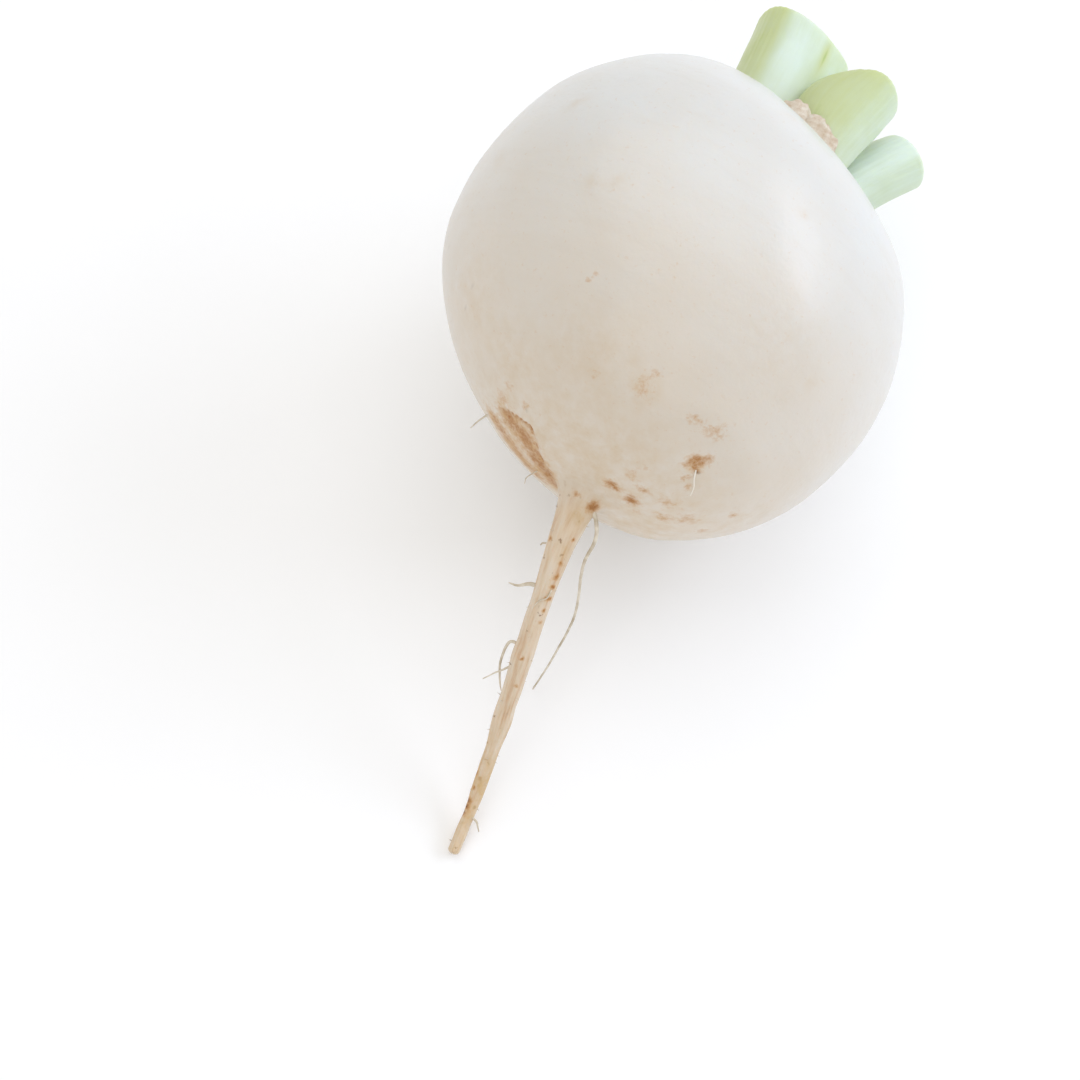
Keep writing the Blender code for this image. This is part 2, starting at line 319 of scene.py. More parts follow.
body_faces = []
bulb_count = len(bulb_turned[0])
for k in range(bulb_count // BULB_SIDES - 1):
    band(k * BULB_SIDES, (k + 1) * BULB_SIDES, BULB_SIDES, body_faces)
last_bulb = bulb_count - BULB_SIDES
for i in range(ROOT_SIDES):
    fine = [last_bulb + (3 * i + step) % BULB_SIDES for step in range(4)]
    here, there = bulb_count + i, bulb_count + (i + 1) % ROOT_SIDES
    body_faces += [(fine[0], fine[1], here), (fine[1], fine[2], there, here), (fine[2], fine[3], there)]
root_count = len(root_turned[0])
for k in range(root_count // ROOT_SIDES - 1):
    start = bulb_count + k * ROOT_SIDES
    band(start, start + ROOT_SIDES, ROOT_SIDES, body_faces)
crown_pole, tip_pole = bulb_count + root_count, bulb_count + root_count + 1
last_root = bulb_count + root_count - ROOT_SIDES
body_faces += [(crown_pole, (i + 1) % BULB_SIDES, i) for i in range(BULB_SIDES)]
body_faces += [(tip_pole, last_root + i, last_root + (i + 1) % ROOT_SIDES) for i in range(ROOT_SIDES)]


def mesh_object(name, points, faces):
    """A smooth mesh object that sits at the origin, with its place in its mesh."""
    mesh = bpy.data.meshes.new(name)
    mesh.from_pydata([tuple(p) for p in points], [], faces)
    mesh.validate()
    mesh.shade_smooth()
    piece = bpy.data.objects.new(name, mesh)
    bpy.context.scene.collection.objects.link(piece)
    return piece


body = mesh_object("turnip_body", body_points, body_faces)
body_normals = np.empty(len(body_points) * 3)
body.data.vertices.foreach_get("normal", body_normals)
body_normals = body_normals.reshape(-1, 3)
outward = np.einsum("ij,ij->i", body_points - (0, 0, BULB_LIFT), body_normals)[:bulb_count]
print("body:", len(body_points), "points")
print("share of the bulb's normals that point outwards:", round(float((outward > 0).mean()), 3))

# %% [markdown]
# ## Marks that the soil left
#
# A washed turnip still shows where it grew: a cracked brown strip beside the neck, a few corky scars, a
# pale dent, and tan patches where the soil stained it. A mark's place is given as a grower would point to
# it: on the bulb, how many degrees away from the neck and how many round from the right-hand side; on the
# taproot, how many millimetres down it and how many degrees round.
# The marks move the surface a little, and they are also stored as named attributes of the mesh, which
# the skin's material reads. That way colour and relief always agree.

# %% Places on the skin
def bulb_place(off_neck, turn):
    """A place on the bulb in mm: degrees away from the neck, and degrees round from the right side."""
    off, turn = math.radians(off_neck), math.radians(turn)
    turned_place = (BULB_RADIUS * math.sin(off), -BULB_HALF_LENGTH * (1 - math.cos(off)), turn)
    return tuple(on_bulb([np.array([value]) for value in turned_place])[0] / MM)


def root_place(along, turn):
    """A place on the taproot in mm: how far down it, and degrees round from the right side."""
    lengths, radii = zip(*TAPROOT_RADII)
    turned_place = (np.interp(along, lengths, radii) * MM, along * MM, math.radians(turn))
    return tuple(on_taproot([np.array([value]) for value in turned_place])[0] / MM)


# %% The cracked strip and the torn dent: degrees off the neck, degrees round
STRIP = [bulb_place(*place) for place in ((25, 157), (20, 152), (15, 160), (11, 172), (8, 203))]
STRIP_FLANK = [bulb_place(*place) for place in ((27, 175), (21, 182), (17, 190), (14, 203))]
STRIP_RADIUS = 3.0
CRACK = [bulb_place(*place) for place in (
    (28, 159), (25, 148), (22, 138), (18, 141), (14, 152), (9, 178), (7, 203))]
CRACK_RADIUS = 0.5
DENT, DENT_RADIUS, DENT_DEPTH = bulb_place(38, 42), 7.0, 0.38
TORN_CORNER = [bulb_place(*place) for place in ((37, 45), (39, 45), (41, 42))]
TORN_POINT = [bulb_place(*place) for place in ((38, 44), (37, 40))]
RIDGE = [bulb_place(*place) for place in ((51, 55), (51, 44), (50, 33), (46, 20))]
DASH = [bulb_place(*place) for place in ((65, 103), (62, 105))]

# %% Corky scars: place, radius, strength of the brown, depth of the pit
BULB_SCARS = [
    (14, 58, 1.1, 1.0, 0.25), (14, 51, 0.8, 0.9, 0.15), (15, 31, 1.1, 1.0, 0.25), (16, 36, 0.8, 0.8, 0.15),
    (15, 14, 0.9, 0.4, 0.05), (21, 43, 0.9, 0.6, 0.1), (22, 57, 1.0, 0.35, 0.05), (27, 57, 0.8, 0.3, 0.0),
    (33, 40, 0.7, 0.5, 0.1), (32, 34, 0.6, 0.6, 0.1), (47, 58, 1.0, 0.42, 0.05), (47, 54, 0.9, 0.38, 0.05),
    (48, 50, 1.4, 0.42, 0.05), (39, 43, 1.2, 0.75, 0.05), (45, 78, 1.7, 0.3, 0.0), (50, 77, 0.6, 0.5, 0.05),
    (42, 95, 0.7, 0.3, 0.0), (25, 26, 1.2, 0.4, 0.05), (22, 10, 1.2, 0.5, 0.05), (28, 8, 1.5, 0.5, 0.05),
    (40, 5, 0.8, 0.5, 0.05), (32, -8, 1.0, 0.4, 0.0), (30, 150, 1.0, 0.5, 0.05), (33, 140, 0.9, 0.4, 0.0),
    (28, 133, 0.7, 0.5, 0.0),
]
ROOT_SCARS = [
    (1.5, 38, 1.0, 1.0, 0.2), (1, 95, 0.5, 0.7, 0.05), (8, 140, 0.3, 0.8, 0.03),
    (28, 80, 0.3, 0.8, 0.03), (33, 60, 0.3, 0.8, 0.03), (47, 130, 0.35, 0.7, 0.03),
    (51, 150, 0.55, 1.0, 0.05), (53.5, 120, 0.4, 0.8, 0.03),
    (56, 140, 0.7, 1.0, 0.1), (57, 145, 0.75, 1.0, 0.15), (58.5, 140, 0.6, 1.0, 0.1),
]
# A dotted line of scars down the right side of the upper taproot.
ROOT_SCARS += [(along, 40, 0.42, 0.95, 0.05) for along in (7, 11, 13, 15, 17, 19, 21)]
SCARS = [(bulb_place(off, turn), *look) for off, turn, *look in BULB_SCARS]
SCARS += [(root_place(along, turn), *look) for along, turn, *look in ROOT_SCARS]
SCARS += [(place, 2.1, 0.6, 0.0) for place in STRIP_FLANK]
print(len(SCARS), "scars")

# %% Pin-prick specks, nearly black
SPECK_RADIUS = 0.21
SPECKS = [bulb_place(*place)
          for place in ((52, 154), (56, 148), (68, 163), (71, 166), (37, 39), (27, 133))]
SPECKS += [root_place(along, 142) for along in (56, 57, 58)]

# %% Tan stains: place, radius, strength
BULB_STAINS = [
    (45, 78, 3.0, 0.55), (49, 84, 2.4, 0.3), (26, 12, 4.0, 0.5), (22, 28, 3.0, 0.35), (30, 0, 4.5, 0.4),
    (18, 45, 4.5, 0.3), (30, 120, 7.0, 0.4), (38, 135, 9.0, 0.38), (52, 148, 10.0, 0.28), (45, 100, 9.0, 0.3),
    (75, 55, 8.0, 0.18), (10, -30, 6.0, 0.45), (84, 113, 2.2, 0.28), (86, 108, 1.8, 0.3),
    (87, 146, 2.0, 0.25),
    (104, 132, 2.2, 0.28), (57, 94, 1.2, 0.3), (104, 66, 1.0, 0.45), (38, 43, 2.2, 0.8), (14, 54, 2.2, 0.7),
    (15, 32, 2.2, 0.7), (22, -15, 8.0, 0.6), (40, -5, 8.0, 0.4), (73, 38, 1.5, 0.25), (66, 42, 1.8, 0.22),
    (132, 85, 1.3, 0.3),
]
ROOT_STAINS = [(3, 50, 2.6, 0.9), (9, 50, 2.0, 0.55), (16, 50, 1.6, 0.4), (55, 90, 12.0, 1.0)]
STAINS = [(bulb_place(off, turn), *look) for off, turn, *look in BULB_STAINS]
STAINS += [(root_place(along, turn), *look) for along, turn, *look in ROOT_STAINS]
STAINS += [(place, 2.8, 1.0) for place in STRIP_FLANK]
print(len(STAINS), "stains")


# %% Move the surface and store the marks
def closeness(points, place_mm, radius_mm):
    """1 at the place and falling softly to 0 over about its radius."""
    return np.exp(-(np.linalg.norm(points - np.array(place_mm) * MM, axis=1) / (radius_mm * MM)) ** 2)


def path_closeness(points, path_mm, radius_mm):
    """1 on the path and falling softly to 0 over about its radius."""
    return np.exp(-(distance_to_path(points, path_mm) / (radius_mm * MM)) ** 2)


ROOT_FADE = (-1.0 * MM, 4.0 * MM)         # where the bulb's skin turns into the taproot's
GRAIN_TURN, GRAIN_STRETCH = 3 * MM, 0.18  # the grain runs along the root: short round it, long down it
RAGGEDNESS = 0.55 * MM                    # how far the marks' edges wander
CROWN_FADE = (12 * MM, 19 * MM)
NECK_RAY_PLACE, NECK_RAY_REACH = 1.5 * MM, 5 * MM
# Heights and depths of the relief in mm. Each wave's size and seed are given where it is used.
SKIN_WAVE, SKIN_RIPPLE, SKIN_PORE, NECK_RAY = 0.42, 0.10, 0.035, 0.22
ROOT_WRINKLE, ROOT_WAVE, CROWN_LUMP, CROWN_GRAIN = 0.13, 0.16, 0.35, 0.15
CRACK_DEPTH, STRIP_DEPTH, STRIP_LUMP, TORN_DEPTH, RIDGE_HEIGHT = 0.35, 0.25, 0.16, 0.30, 0.40
# Radii in mm, and shares of the full brown or tan.
TORN_CORNER_RADIUS, TORN_POINT_RADIUS, RIDGE_RADIUS, DASH_RADIUS = 1.15, 0.8, 3.2, 0.28
CRACK_BROWN, STRIP_BROWN, FLANK_BROWN, TORN_BROWN, DASH_BROWN = 0.95, 0.76, 0.66, 0.8, 0.5
NECK_TAN, NECK_TAN_REACH, STRIP_TAN, FLANK_TAN = 0.55, 8.5 * MM, 0.9, 1.6
SCAR_SPREAD = 1.3
REST_SOFTNESS = 0.1 * MM                  # keeps the skin from dipping under the surface it lies on

radius, along, angle = turned
on_root = smooth_step(along, *ROOT_FADE)
grain_place = np.column_stack([np.cos(angle) * GRAIN_TURN, np.sin(angle) * GRAIN_TURN,
                               along * GRAIN_STRETCH])
ragged_places = body_points + RAGGEDNESS * np.column_stack(
    [rough(body_points, 1.8, seed) for seed in (21, 22, 23)])
strip = path_closeness(ragged_places, STRIP, STRIP_RADIUS)
crack = path_closeness(ragged_places, CRACK, CRACK_RADIUS)
flank = path_closeness(ragged_places, STRIP_FLANK, STRIP_RADIUS)
torn = np.maximum(TORN_BROWN * path_closeness(ragged_places, TORN_CORNER, TORN_CORNER_RADIUS),
                  TORN_BROWN * path_closeness(ragged_places, TORN_POINT, TORN_POINT_RADIUS))
neck_rays = np.exp(-(np.abs(along + NECK_RAY_PLACE) / NECK_RAY_REACH) ** 2) * rough(grain_place, 1.6, 3)
past_crown = np.maximum(along + BULB_HALF_LENGTH + CROWN_HEIGHT - 2 * MM, 0)
crown_share = 1 - smooth_step(radius + 30 * past_crown, *CROWN_FADE)

relief = (SKIN_WAVE * rough(body_points, 17, 1) + SKIN_RIPPLE * rough(body_points, 6, 2)) * (1 - on_root)
relief += SKIN_PORE * rough(body_points, 1.7, 5) * (1 - on_root)
relief += NECK_RAY * neck_rays
relief += on_root * (ROOT_WRINKLE * rough(grain_place, 2.0, 4) + ROOT_WAVE * rough(body_points, 4.5, 6))
relief += -CRACK_DEPTH * crack + STRIP_LUMP * strip * rough(body_points, 1.3, 7) - STRIP_DEPTH * strip
relief += -TORN_DEPTH * torn - DENT_DEPTH * closeness(body_points, DENT, DENT_RADIUS)
relief += RIDGE_HEIGHT * path_closeness(body_points, RIDGE, RIDGE_RADIUS)
relief += crown_share * (CROWN_LUMP * rough(body_points, 3.5, 8) + CROWN_GRAIN * rough(body_points, 1.2, 9))

scurf = np.maximum(CRACK_BROWN * crack, STRIP_BROWN * strip)
scurf = np.maximum(scurf, FLANK_BROWN * flank)
scurf = np.maximum(scurf, torn)
scurf = np.maximum(scurf, DASH_BROWN * path_closeness(body_points, DASH, DASH_RADIUS))
for place, size, strength, pit in SCARS:
    near = closeness(ragged_places, place, size * SCAR_SPREAD)
    scurf = np.maximum(scurf, strength * near)
    relief -= pit * near
speck = np.zeros(len(body_points))
for place in SPECKS:
    speck = np.maximum(speck, closeness(body_points, place, SPECK_RADIUS))
near_neck = np.exp(-((np.maximum(-along, 0) / NECK_TAN_REACH) ** 2)) * (1 - on_root)
tan = np.maximum(NECK_TAN * near_neck + STRIP_TAN * strip, FLANK_TAN * flank)
for place, size, strength in STAINS:
    tan = np.maximum(tan, strength * closeness(body_points, place, size))

body_points = body_points + body_normals * (relief * MM)[:, None]
body_points[:, 2] = 0.5 * (body_points[:, 2] + np.sqrt(body_points[:, 2] ** 2 + REST_SOFTNESS ** 2))
body.data.vertices.foreach_set("co", body_points.ravel())


def store(mesh, name, values):
    """Stores one value or one vector for each point under a name that materials read."""
    values = np.asarray(values, dtype=float)
    kind = "FLOAT" if values.ndim == 1 else "FLOAT_VECTOR"
    attribute = mesh.attributes.new(name, kind, "POINT")
    attribute.data.foreach_set("value" if kind == "FLOAT" else "vector", values.ravel())


store(body.data, "root_share", on_root)
store(body.data, "scurf", scurf)
store(body.data, "speck", speck)
store(body.data, "tan", tan)
store(body.data, "crown_share", crown_share)
store(body.data, "grain", grain_place)
body.data.update()
print("relief from", round(relief.min(), 2), "to", round(relief.max(), 2), "mm")

# %% [markdown]
# ## Washed turnip skin
#
# The skin is a thin moist layer over white flesh. Light goes a few millimetres into it, so the shader
# has some subsurface scattering, and its sheen is soft because the surface is smooth but not wet. Colour
# runs from a cool white at the crown to a warm cream at the root end. Faint rings run round the bulb
# where it swelled. The taproot's skin is thicker, tan and finely wrinkled along its length.

# %% Skin material
skin, tree, shader = new_material("washed_turnip_skin")
place = add_node(tree, "ShaderNodeTexCoord").outputs["Object"]
marks = {name: add_node(tree, "ShaderNodeAttribute", attribute_name=name).outputs["Fac"]
         for name in ("root_share", "scurf", "speck", "tan", "crown_share")}
grain = add_node(tree, "ShaderNodeAttribute", attribute_name="grain").outputs["Vector"]
end_to_end = add_node(tree, "ShaderNodeSeparateXYZ", {0: place}).outputs["Y"]

# Cool white at the crown end to warm cream at the root end, broken up over about 15 mm.
clouds = add_node(tree, "ShaderNodeTexNoise", {"Vector": place, "Scale": per_metre(15), "Detail": 4.0})
warm_end = add_node(tree, "ShaderNodeMapRange", {"Value": end_to_end, "From Min": 0.030, "From Max": -0.038},
                    interpolation_type="SMOOTHSTEP")
warm = add_node(tree, "ShaderNodeMath", {0: clouds.outputs["Fac"], 1: 0.7, 2: warm_end.outputs[0]},
                operation="MULTIPLY_ADD")
warm = add_node(tree, "ShaderNodeMath", {0: warm.outputs[0], 1: 0.35}, operation="SUBTRACT", use_clamp=True)
colour = add_node(tree, "ShaderNodeMix", {0: warm.outputs[0], 6: linear("#dadad7"), 7: linear("#d9cebf")},
                  data_type="RGBA").outputs[2]

# Faint growth rings, a few millimetres apart and stretched round the bulb.
ring_place = add_node(tree, "ShaderNodeMapping", {"Vector": place, "Scale": (0.12, 1.0, 0.12)})
rings = add_node(tree, "ShaderNodeTexNoise", {"Vector": ring_place.outputs[0], "Scale": per_metre(2.4),
                                              "Detail": 3.0, "Roughness": 0.6})
ring_share = add_node(tree, "ShaderNodeMapRange", {"Value": rings.outputs["Fac"], "From Min": 0.52,
                                                   "From Max": 0.75, "To Max": 0.10})
colour = add_node(tree, "ShaderNodeMix", {0: ring_share.outputs[0], 6: colour, 7: linear("#cbbca6")},
                  data_type="RGBA").outputs[2]

# The crown: greener and rougher between the stalks, with brown flecks.
flecks = add_node(tree, "ShaderNodeTexNoise", {"Vector": place, "Scale": per_metre(1.8), "Detail": 5.0})
crown_green = add_node(tree, "ShaderNodeMix", {0: flecks.outputs["Fac"], 6: linear("#dfe3c4"),
                                               7: linear("#b9a078")}, data_type="RGBA").outputs[2]
colour = add_node(tree, "ShaderNodeMix", {0: marks["crown_share"], 6: colour, 7: crown_green},
                  data_type="RGBA").outputs[2]

# Taproot: tan with paler and browner streaks along it.
streaks = add_node(tree, "ShaderNodeTexNoise", {"Vector": grain, "Scale": per_metre(1.3), "Detail": 6.0,
                                                "Roughness": 0.6})
root_tan = add_node(tree, "ShaderNodeValToRGB", {"Fac": streaks.outputs["Fac"]})
root_tan.color_ramp.elements[0].position = 0.30
root_tan.color_ramp.elements[0].color = linear("#c8a583")
root_tan.color_ramp.elements[1].position = 0.66
root_tan.color_ramp.elements[1].color = linear("#ded0bd")
middle = root_tan.color_ramp.elements.new(0.46)
middle.color = linear("#d7c2a7")
colour = add_node(tree, "ShaderNodeMix", {0: marks["root_share"], 6: colour, 7: root_tan.outputs["Color"]},
                  data_type="RGBA").outputs[2]
root_flecks = add_node(tree, "ShaderNodeTexNoise", {"Vector": place, "Scale": per_metre(1.5), "Detail": 3.0})
fleck_share = add_node(tree, "ShaderNodeMapRange", {"Value": root_flecks.outputs["Fac"], "From Min": 0.66,
                                                    "From Max": 0.72, "To Max": 0.8})
fleck_share = add_node(tree, "ShaderNodeMath", {0: fleck_share.outputs[0], 1: marks["root_share"]},
                       operation="MULTIPLY")
colour = add_node(tree, "ShaderNodeMix", {0: fleck_share.outputs[0], 6: colour, 7: linear("#7d5330")},
                  data_type="RGBA").outputs[2]

# Tan stains with ragged edges.
ragged = add_node(tree, "ShaderNodeTexNoise", {"Vector": place, "Scale": per_metre(3.0), "Detail": 6.0,
                                               "Roughness": 0.65})
ragged_gain = add_node(tree, "ShaderNodeMapRange", {"Value": ragged.outputs["Fac"], "From Min": 0.36,
                                                    "From Max": 0.68, "To Min": 0.05, "To Max": 1.0})
tan_share = add_node(tree, "ShaderNodeMath", {0: marks["tan"], 1: ragged_gain.outputs[0]},
                     operation="MULTIPLY", use_clamp=True)
colour = add_node(tree, "ShaderNodeMix", {0: tan_share.outputs[0], 6: colour, 7: linear("#cbad7e")},
                  data_type="RGBA").outputs[2]

# Corky scars and the cracked strip, eaten into by noise of under a millimetre.
crumble = add_node(tree, "ShaderNodeTexNoise", {"Vector": place, "Scale": per_metre(0.9), "Detail": 5.0,
                                                "Roughness": 0.7})
scurf_edge = add_node(tree, "ShaderNodeMath", {0: crumble.outputs["Fac"], 1: 1.4, 2: marks["scurf"]},
                      operation="MULTIPLY_ADD")
scurf_share = add_node(tree, "ShaderNodeMapRange", {"Value": scurf_edge.outputs[0], "From Min": 0.84,
                                                    "From Max": 2.10})
scurf_colour = add_node(tree, "ShaderNodeMix", {0: scurf_share.outputs[0], 6: linear("#d09d58"),
                                                7: linear("#8e4f18")}, data_type="RGBA").outputs[2]
scurf_cover = add_node(tree, "ShaderNodeMath", {0: scurf_share.outputs[0], 1: 1.8}, operation="MULTIPLY",
                       use_clamp=True)
colour = add_node(tree, "ShaderNodeMix", {0: scurf_cover.outputs[0], 6: colour, 7: scurf_colour},
                  data_type="RGBA").outputs[2]
colour = add_node(tree, "ShaderNodeMix", {0: marks["speck"], 6: colour, 7: linear("#3a2c20")},
                  data_type="RGBA").outputs[2]

# Roughness: smooth skin, matt scurf and root. Bump: pores, and wrinkles along the root.
dry = add_node(tree, "ShaderNodeMath", {0: scurf_share.outputs[0], 1: marks["root_share"]},
               operation="MAXIMUM")
dryness = add_node(tree, "ShaderNodeMapRange", {"Value": dry.outputs[0], "To Min": 0.34, "To Max": 0.72})
gloss_break = add_node(tree, "ShaderNodeMath", {0: ragged.outputs["Fac"], 1: 0.16, 2: dryness.outputs[0]},
                       operation="MULTIPLY_ADD")
pores = add_node(tree, "ShaderNodeTexNoise", {"Vector": place, "Scale": per_metre(1.1), "Detail": 4.0})
pore_bump = add_node(tree, "ShaderNodeBump", {"Height": pores.outputs["Fac"], "Strength": 0.5,
                                              "Distance": 0.12 * MM})
wrinkle_bump = add_node(tree, "ShaderNodeBump", {"Height": streaks.outputs["Fac"],
                                                 "Strength": marks["root_share"], "Distance": 0.2 * MM,
                                                 "Normal": pore_bump.outputs[0]})
scurf_bump = add_node(tree, "ShaderNodeBump", {"Height": crumble.outputs["Fac"],
                                               "Strength": scurf_share.outputs[0], "Distance": 0.4 * MM,
                                               "Normal": wrinkle_bump.outputs[0]})
tree.links.new(colour, shader.inputs["Base Color"])
tree.links.new(gloss_break.outputs[0], shader.inputs["Roughness"])
tree.links.new(scurf_bump.outputs[0], shader.inputs["Normal"])
shader.inputs["IOR"].default_value = 1.42
shader.inputs["Subsurface Weight"].default_value = 0.20
shader.inputs["Subsurface Radius"].default_value = (1.0, 0.75, 0.5)
shader.inputs["Subsurface Scale"].default_value = 3.0 * MM
shader.inputs["Coat Weight"].default_value = 0.42
shader.inputs["Coat Roughness"].default_value = 0.24
body.data.materials.append(skin)
print("skin material:", len(tree.nodes), "nodes")

# %% [markdown]
# ## Leaf stalks
#
# Each stalk was a leaf's midrib, cut with a knife. Its section is a kidney: full and ribbed outside,
# hollowed inside. A loft of sections along a short curve makes it, and its foot runs into the crown, as
# the real one grows out of it. The ribs are real relief. Two numbers are stored for each point, across
# and along the stalk, and a third for how yellow-green it is there, for the material to read. Where that
# share is low the stalk is painted pale, partly its own colour and partly a painted highlight.

# %% Stalk sizes (mm)
STALKS = {
    "leaf_stalk_1": dict(foot=(-7.5, 45.0), tip=(-10.0, 55.0, 44.5), outer=(-0.30, 0.0, 0.95), curl=0.42,
                         left=(6.8, 6.5, 6.4), right=(10.5, 11.8, 12.0), depth=(5.6, 5.4, 5.2),
                         cut=0.35, skew=-0.18),
    "leaf_stalk_2": dict(foot=(8.0, 49.0), tip=(11.0, 48.5, 48.5), outer=(0.10, 0.0, 1.0), curl=0.16,
                         left=(3.6, 9.6, 5.3), right=(5.0, 5.2, 5.0), depth=(6.4, 6.8, 7.6),
                         cut=0.35, skew=0.0),
    "leaf_stalk_3": dict(foot=(13.0, 41.0), tip=(20.5, 44.0, 39.5), outer=(0.10, 0.0, 1.0), curl=0.10,
                         left=(5.4, 5.9, 5.7), right=(5.0, 5.1, 5.0), depth=(6.4, 7.0, 7.6),
                         cut=0.2, skew=0.15),
    "leaf_stalk_4": dict(foot=(10.5, 29.0), tip=(12.5, 41.5, 25.5), outer=(0.3, 0.0, -1.0), curl=0.2,
                         left=(6.0, 5.2, 4.6), right=(6.0, 5.2, 4.6), depth=(5.0, 5.4, 6.0),
                         cut=0.2, skew=0.0),
    "leaf_stalk_5": dict(foot=(-4.5, 31.0), tip=(-6.5, 42.5, 27.5), outer=(-0.7, 0.0, -0.7), curl=0.2,
                         left=(5.4, 4.8, 4.4), right=(5.4, 4.8, 4.4), depth=(5.0, 5.2, 5.6),
                         cut=0.2, skew=0.0),
    "crown_bud": dict(foot=(8.2, 36.2), tip=(8.0, 36.5, 36.8), outer=(0.0, 0.0, 1.0), curl=0.0,
                      left=(2.6, 2.2, 1.4), right=(2.6, 2.2, 1.4), depth=(4.4, 3.8, 2.4),
                      cut=0.0, skew=0.0),
}
# How yellow-green each stalk is: pairs of a place from -1 (left edge) to 1 (right edge), and a share.
# A share near 0 paints a pale band that is partly the stalk's own colour and partly a painted highlight.
GREENNESS_AND_PAINTED_HIGHLIGHT = {"leaf_stalk_1": ((-1.0, 0.70), (0.0, 0.64), (0.2, 0.14), (0.45, 0.0), (0.75, 0.34), (1.0, 0.28)),
             "leaf_stalk_2": ((-1.0, 0.70), (-0.2, 0.60), (0.3, 0.42), (1.0, 0.22)),
             "leaf_stalk_3": ((-1.0, 0.35), (-0.5, 0.0), (0.1, 0.0), (0.35, 0.16), (1.0, 0.20)),
             "leaf_stalk_4": ((-1.0, 0.5), (0.0, 0.25), (1.0, 0.4)),
             "leaf_stalk_5": ((-1.0, 0.5), (0.0, 0.25), (1.0, 0.4)),
             "crown_bud": ((-1.0, 0.7), (0.0, 0.5), (1.0, 0.7))}
STALK_SIDES = 112
STALK_RINGS = 60
FOOT_DEPTH = 0.14
EDGE_ROUNDING = 0.6 * MM
ROUNDED_SHARE = 0.10
CUT_DIP = 0.25 * MM
CUT_RINGS = 10
RIB_SPACING = 1.15 * MM
RIB_HEIGHT = 0.06 * MM
FOLDED_STALK = "leaf_stalk_1"
FOLD_PLACE = (0.74, 0.74)  # across and along the stalk
FOLD_SIZE = (0.04, 0.20)
FOLD_GREEN = 0.55
FOOT_FLARE, FLARE_REACH = 0.10, 0.08
EDGE_RINGS = 4             # rings of the rounded edge, 30 degrees apart

crown_surface = BVHTree.FromPolygons([Vector(p) for p in body_points], body_faces)


def crown_height(x, z):
    """How far along Y the crown reaches at (x, z)."""
    hit = crown_surface.ray_cast(Vector((x, 80 * MM, z)), Vector((0, -1, 0)))[0]
    return hit.y if hit else 20 * MM


def between(values, t):
    """The parabola through three values, given at t = 0, a half and 1."""
    first, middle, last = values
    return first + t * (4 * middle - 3 * first - last) + t * t * (2 * first - 4 * middle + 2 * last)


# %% Loft a stalk
def stalk_frames(spec, t):
    """Centre, ahead, across and out at each t along the stalk."""
    foot = np.array([spec["foot"][0], 0, spec["foot"][1]]) * MM
    foot[1] = crown_height(foot[0], foot[2])
    tip = np.array(spec["tip"]) * MM
    middle = (foot + tip) / 2 + (0, 0.12 * np.linalg.norm(tip - foot), 0)
    t = t[:, None]
    centre = foot * (1 - t) ** 2 + middle * 2 * t * (1 - t) + tip * t * t
    ahead = (middle - foot) * (1 - t) + (tip - middle) * t
    ahead /= np.linalg.norm(ahead, axis=1)[:, None]
    out = np.array(spec["outer"]) - ahead * (ahead @ np.array(spec["outer"]))[:, None]
    out /= np.linalg.norm(out, axis=1)[:, None]
    return centre, ahead, np.cross(ahead, out), out


def stalk_section(spec, t, shrink=1.0):
    """Offsets (across, out) of the kidney section at each t, one column for each point round it."""
    turn = np.arange(STALK_SIDES) * math.tau / STALK_SIDES
    sideways, outward = np.cos(turn), np.sin(turn)
    left, right, depth = (between(spec[part], t)[:, None] * MM for part in ("left", "right", "depth"))
    half_width = np.where(sideways > 0, right, left)
    bulge = np.where(outward > 0, 0.62, 0.38)
    channel = np.where(outward < 0, 0.10 * (1 - sideways ** 2), 0.0)
    x = sideways * half_width * shrink
    thickness = depth * (bulge * outward + channel) * shrink
    sag = spec["curl"] * half_width * (sideways * shrink) ** 2
    ribs = RIB_HEIGHT * np.cos(x / RIB_SPACING * math.tau) * np.abs(outward) * max(0.0, 6 * shrink - 5)
    return x, thickness + np.sign(outward) * ribs - sag


def stalk_points(spec, t, shrink=1.0):
    """Points of the sections at each t."""
    centre, ahead, across, out = stalk_frames(spec, t)
    x, y = stalk_section(spec, np.clip(t, 0, 1), shrink)
    reach = np.clip(t, 0, 1)[:, None] * (spec["cut"] * y + spec["skew"] * x)
    flare = 1 + FOOT_FLARE * np.exp(-np.maximum(t, 0) / FLARE_REACH)[:, None]
    return (centre[:, None] + across[:, None] * (x * flare)[..., None] + out[:, None] * (y * flare)[..., None]
            + ahead[:, None] * reach[..., None])


